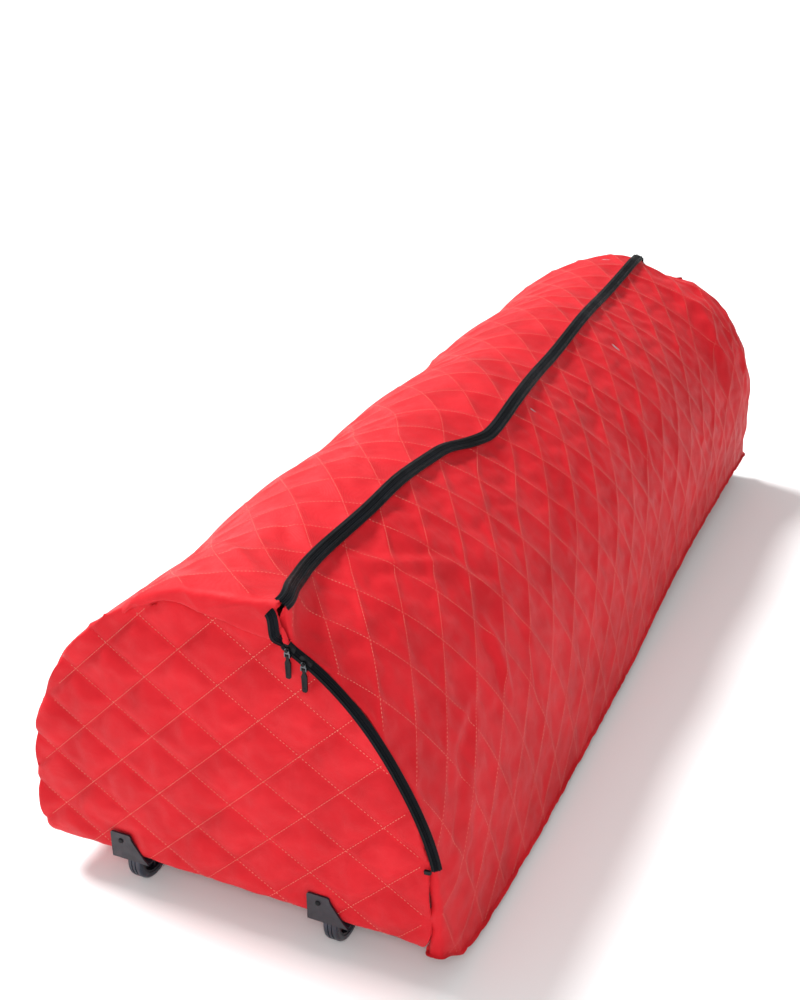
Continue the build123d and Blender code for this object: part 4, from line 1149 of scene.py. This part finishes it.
def make_base_cover():
    quilt = Quilt(QUILT_A, QUILT_B, (0.0, 0.0), 0.0035, seed=6)
    low, high = (-0.320, -HALF_LENGTH + 0.016), (0.320, HALF_LENGTH - 0.016)

    def from_wheel(pq):
        return np.abs(np.abs(pq[:, 0]) - WHEEL_X)

    def in_well(pq):
        return (from_wheel(pq) < WELL[0]) & (pq[:, 1] < WELL[1])

    def place(pq):
        return np.stack([pq[:, 0], pq[:, 1], BASE + 0.002 + 0 * pq[:, 0]], -1)

    def pressed(pq):
        """Quilting is pressed flat round the wheel wells and the rest feet."""
        lip = smooth(0.034, 0.06, np.maximum(from_wheel(pq), (pq[:, 1] + 0.90) * 1.2))
        beside = np.abs(np.abs(pq[:, 0]) - REST_FOOT[0])
        foot = smooth(0.036, 0.07, np.maximum(beside, np.abs(pq[:, 1] - REST_FOOT[1]) * 1.3))
        return lip * foot * 0.9

    def keep(pq):
        return ~in_well(pq - [0, 0.006])

    obj = quilted(
        "quilted_base", quilt, place, low, high, (), keep, -1, hem=0.0015, relief=pressed, drop_faces=in_well
    )
    declared(obj, ["base_cover"], "root")


def plain_cloth(name, quilt, place, low, high, material, hem, stitched=False):
    """A quilted sheet of another cloth, with or without its thread."""
    obj = quilted(name, quilt, place, low, high, hem=hem, threads=stitched)
    obj.data.materials[0] = MATERIALS[material]
    return obj


def make_slab(name, node, bottom, top, height, material, slot):
    """A soft slab with a crowned top and rounded edges."""
    half_x, half_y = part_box(node)[1].x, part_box(node)[1].y
    quilt = Quilt((0.106, 0.0), (0.0, 0.106), (0.0, 0.0), height, seed=8)
    edge = 0.35 * (top - bottom)
    low, high = (-half_x, -half_y), (half_x, half_y)

    def place(pq):
        x, y = pq[:, 0], pq[:, 1]
        rim = np.minimum(half_x - np.abs(x), half_y - np.abs(y))
        fall = edge * (1 - np.sqrt(np.clip(1 - (1 - np.clip(rim / (2.5 * edge), 0, 1)) ** 2, 0, 1)))
        return np.stack([x, y, top - height - fall], -1)

    side = top - bottom - edge - height
    stitched = slot == "lining_cloth"
    obj = plain_cloth(name, quilt, place, low, high, material, hem=side, stitched=stitched)
    declared(obj, [node], "root")


LINING_DEPTH = 0.0247
LINING_START = 0.05  # round the section, above the board
HEAD_LINING = 0.030  # how much deeper the lining lies where the covers sink at the head


def make_linings():
    quilt = Quilt((0.148, 0.062), (-0.116, 0.136), (0.0, 0.0), 0.0020, seed=9)
    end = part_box("lining_left")[1].y
    split_s = s_at_x(SPLIT_HEAD[0])
    flap = ("flap", "flap", LINING_START, split_s - 0.003)
    left = ("left", "root", split_s + 0.003, LEFT_EDGE - 0.04)
    for ending, body, start, stop in (flap, left):

        def place(pq):
            s, y = pq[:, 0], pq[:, 1]
            x, z, nx, nz = hull(s)
            sunk = HEAD_LINING * smooth(0.91, 0.965, y) * smooth(0.36, 0.55, s)
            ripple = 0.0025 * (1 + value_noise(s * 9, y * 6, 11)) * smooth(0.0, 0.05, s - start)
            depth = LINING_DEPTH + sunk + ripple
            return np.stack([x - nx * depth, y, z - nz * depth], -1)

        name = f"lining_{ending}_cloth"
        obj = plain_cloth(name, quilt, place, (start, -end), (stop, end), "lining", hem=0.0008)
        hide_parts(f"lining_{ending}")
        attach(obj, body)


def collar_route(side):
    """Half of the neck opening's edge, from the mattress to the zip."""
    inset = 0.008
    radius = NECK_RADIUS - inset
    straight = np.stack([np.full(20, side * radius), np.linspace(TOPPER_TOP + 0.004, NECK_CENTRE, 20)], -1)
    turn = np.linspace(0, pi / 2 - 0.012, 40)[1:]
    arc = np.stack([side * radius * np.cos(turn), NECK_CENTRE + radius * np.sin(turn)], -1)
    flat = np.concatenate([straight, arc])
    return np.stack([flat[:, 0], np.full(len(flat), HALF_LENGTH - 0.0075), flat[:, 1]], -1)


COLLAR_STEP = 0.004
COLLAR_HALF = (0.0172, 0.0076)  # along y, and across the opening's edge


def rounded_power(value, power):
    return np.sign(value) * np.abs(value) ** power


def make_collars():
    """A padded fleece binding round the neck opening, puckered along its length."""
    for side, ending, body in HALVES:
        route = resampled(collar_route(side), COLLAR_STEP)
        tangent = unit(np.gradient(route, axis=0))
        along_y = np.tile([0.0, 1.0, 0.0], (len(route), 1))
        inward_way = unit(np.cross(tangent, along_y)) * side
        turn = np.linspace(0, 2 * pi, 29)[:-1]
        step = np.arange(len(route)) * COLLAR_STEP
        pucker = 1 + 0.05 * np.sin(step * 2 * pi / 0.017 + 0.8 * np.sin(step * 23))
        from_end = np.clip(np.minimum(step, step[-1] - step) / 0.006, 0, 1)
        cap = np.sqrt(np.clip(1 - (1 - from_end) ** 2, 0.02, 1))
        shape_y = COLLAR_HALF[0] * rounded_power(np.cos(turn), 0.7)
        shape_r = COLLAR_HALF[1] * rounded_power(np.sin(turn), 0.8)
        grow = (pucker * cap)[:, None]
        section = np.stack([shape_y, shape_r], -1)
        points = swept(route, along_y * grow, inward_way * grow, section)
        obj = closed_tube(f"collar_{ending}", points, "fleece")
        declared(obj, [f"neck_collar_{ending}"], body)


def closed_tube(name, rings, material):
    """A mesh through rings of points, closed at both ends by a point in the last ring's middle."""
    count, width = rings.shape[:2]
    index = np.arange(count * width).reshape(count, width)
    nxt = np.roll(index, -1, 1)
    quads = np.stack([index[:-1], nxt[:-1], nxt[1:], index[1:]], -1).reshape(-1, 4).tolist()
    points = rings.reshape(-1, 3).tolist()
    for ring, order in ((0, -1), (count - 1, 1)):
        middle = len(points)
        points.append(rings[ring].mean(0).tolist())
        quads += [(index[ring][k], nxt[ring][k], middle)[::order] for k in range(width)]
    mesh = bpy.data.meshes.new(name)
    mesh.from_pydata(points, [], quads)
    mesh.materials.append(MATERIALS[material])
    work = bmesh.new()
    work.from_mesh(mesh)
    bmesh.ops.recalc_face_normals(work, faces=work.faces[:])
    work.to_mesh(mesh)
    work.free()
    obj = new_object(name, mesh)
    shade_smooth(obj)
    return obj


HANDLE_Z = 0.120
HANDLE_END = 0.066  # from the middle to its rivets


def make_handle():
    """A ribbed webbing loop, flat under its rivets and bowed out between."""
    x = np.linspace(-0.080, 0.080, 120)
    bow = 0.015 * (1 - smooth(0.022, 0.054, np.abs(x)))
    route = np.stack([x, HALF_LENGTH + 0.0016 + bow, np.full_like(x, HANDLE_Z)], -1)
    tangent = unit(np.gradient(route, axis=0))
    up = np.tile([0.0, 0.0, 1.0], (len(x), 1))
    out = unit(np.cross(up, tangent)) * -1
    out *= np.sign(out[:, 1:2])
    half, thick = 0.015, 0.0011
    across = np.linspace(-half, half, 31)
    ribs = 0.00018 * np.cos(across * 2 * pi / 0.003)
    edge = np.sqrt(np.clip(1 - (np.abs(across) / half) ** 8, 0, 1))
    front = [(a, (thick + r) * e) for a, r, e in zip(across, ribs, edge)]
    back = [(a, -thick * e) for a, e in zip(across[-2:0:-1], edge[-2:0:-1])]
    obj = closed_tube("handle_webbing", swept(route, up, out, front + back), "web")
    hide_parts("carry_handle")
    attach(obj, "root")


def make_head_zip():
    """The ridge zip's last stretch, down the head panel to the neck opening."""
    end = tunnel(zip_s(HALF_LENGTH), HALF_LENGTH)
    top = np.array([end[0], 0, end[2] - 0.006])
    foot = np.array([SPLIT_FOOT[0] + 0.002, 0, NECK_CENTRE + NECK_RADIUS + 0.004])
    t = np.linspace(0, 1, 60)[:, None]
    route = top * (1 - t) + foot * t
    route[:, 1] = HALF_LENGTH + 0.0015
    tangent = unit(np.gradient(route, axis=0))
    out = np.tile([0.0, 1.0, 0.0], (len(route), 1))
    across = unit(np.cross(out, tangent))
    across *= np.sign(across[:, :1])
    zip_halves(("head_tape_flap", "head_tape_left"), (None, None), route, across, out)


# ---------------------------------------------------------------- camera, light and floor


SKY = 0.52
FLOOR_HALF = 80
FLOOR_Z = -0.001


def lamp(name, kind, place, target, strength):
    light = bpy.data.lights.new(name, kind)
    light.energy = strength
    obj = new_object(name, light)
    obj.location = place
    obj.rotation_euler = (Vector(target) - Vector(place)).to_track_quat("-Z", "Y").to_euler()
    return light


def make_stage():
    """A pale floor under a white sky, a soft sun from the left and a lamp from the front."""
    mesh = bpy.data.meshes.new("floor")
    corners = ((-1, -1), (1, -1), (1, 1), (-1, 1))
    mesh.from_pydata([(x * FLOOR_HALF, y * FLOOR_HALF, FLOOR_Z) for x, y in corners], [], [(0, 1, 2, 3)])
    floor = new_object("floor", mesh)
    mesh.materials.append(plain_material("pale_floor", (0.92, 0.92, 0.92), 0.9))
    world = bpy.data.worlds.new("studio")
    bpy.context.scene.world = world
    world.use_nodes = True
    background = world.node_tree.nodes["Background"]
    background.inputs["Color"].default_value = (1, 1, 1, 1)
    background.inputs["Strength"].default_value = SKY
    key = lamp("key", "SUN", (-2.4, 0.5, 3.4), (0, 0, 0.3), 4.6)
    key.angle = radians(20)
    front = lamp("front", "AREA", (1.6, -4.2, 3.0), (0, -0.4, 0.3), 92)
    front.shape = "DISK"
    front.size = 1.8


def make_camera():
    """The camera stands at the foot end's right, looking down over the ridge."""
    place = Vector((0.980, -2.435, 1.526))
    yaw, pitch, roll = radians(25.27), radians(25.20), radians(-0.73)
    look = Vector((-sin(yaw) * cos(pitch), cos(yaw) * cos(pitch), -sin(pitch)))
    right = Vector((cos(yaw), sin(yaw), 0))
    up = right.cross(look)
    right, up = right * cos(roll) + up * sin(roll), up * cos(roll) - right * sin(roll)
    camera = bpy.data.cameras.new("camera")
    camera.lens, camera.sensor_width = 50.9, 36
    camera.clip_start, camera.clip_end = 0.05, 60
    obj = new_object("camera", camera)
    turn = Matrix((right, up, -look)).transposed().to_4x4()
    obj.matrix_world = Matrix.Translation(place) @ turn
    bpy.context.scene.camera = obj
    bpy.context.scene.view_settings.view_transform = "Standard"


make_camera()
make_stage()
finish_cad_nodes()
make_left_cover()
make_flap_cover()
make_foot_panel()
make_head_panels()
make_base_end()
make_base_cover()
make_slab("foam_slab", "mattress_foam", BOARD_TOP + 0.0015, FOAM_TOP, 0.0015, "foam", "foam")
make_slab(
    "topper_pad", "mattress_topper", FOAM_TOP + 0.001, TOPPER_TOP, 0.0030, "lining", "lining_cloth"
)
make_linings()
make_collars()
make_handle()
make_ridge_zip()
make_arch_zip()
make_head_zip()

bpy.context.view_layer.update()
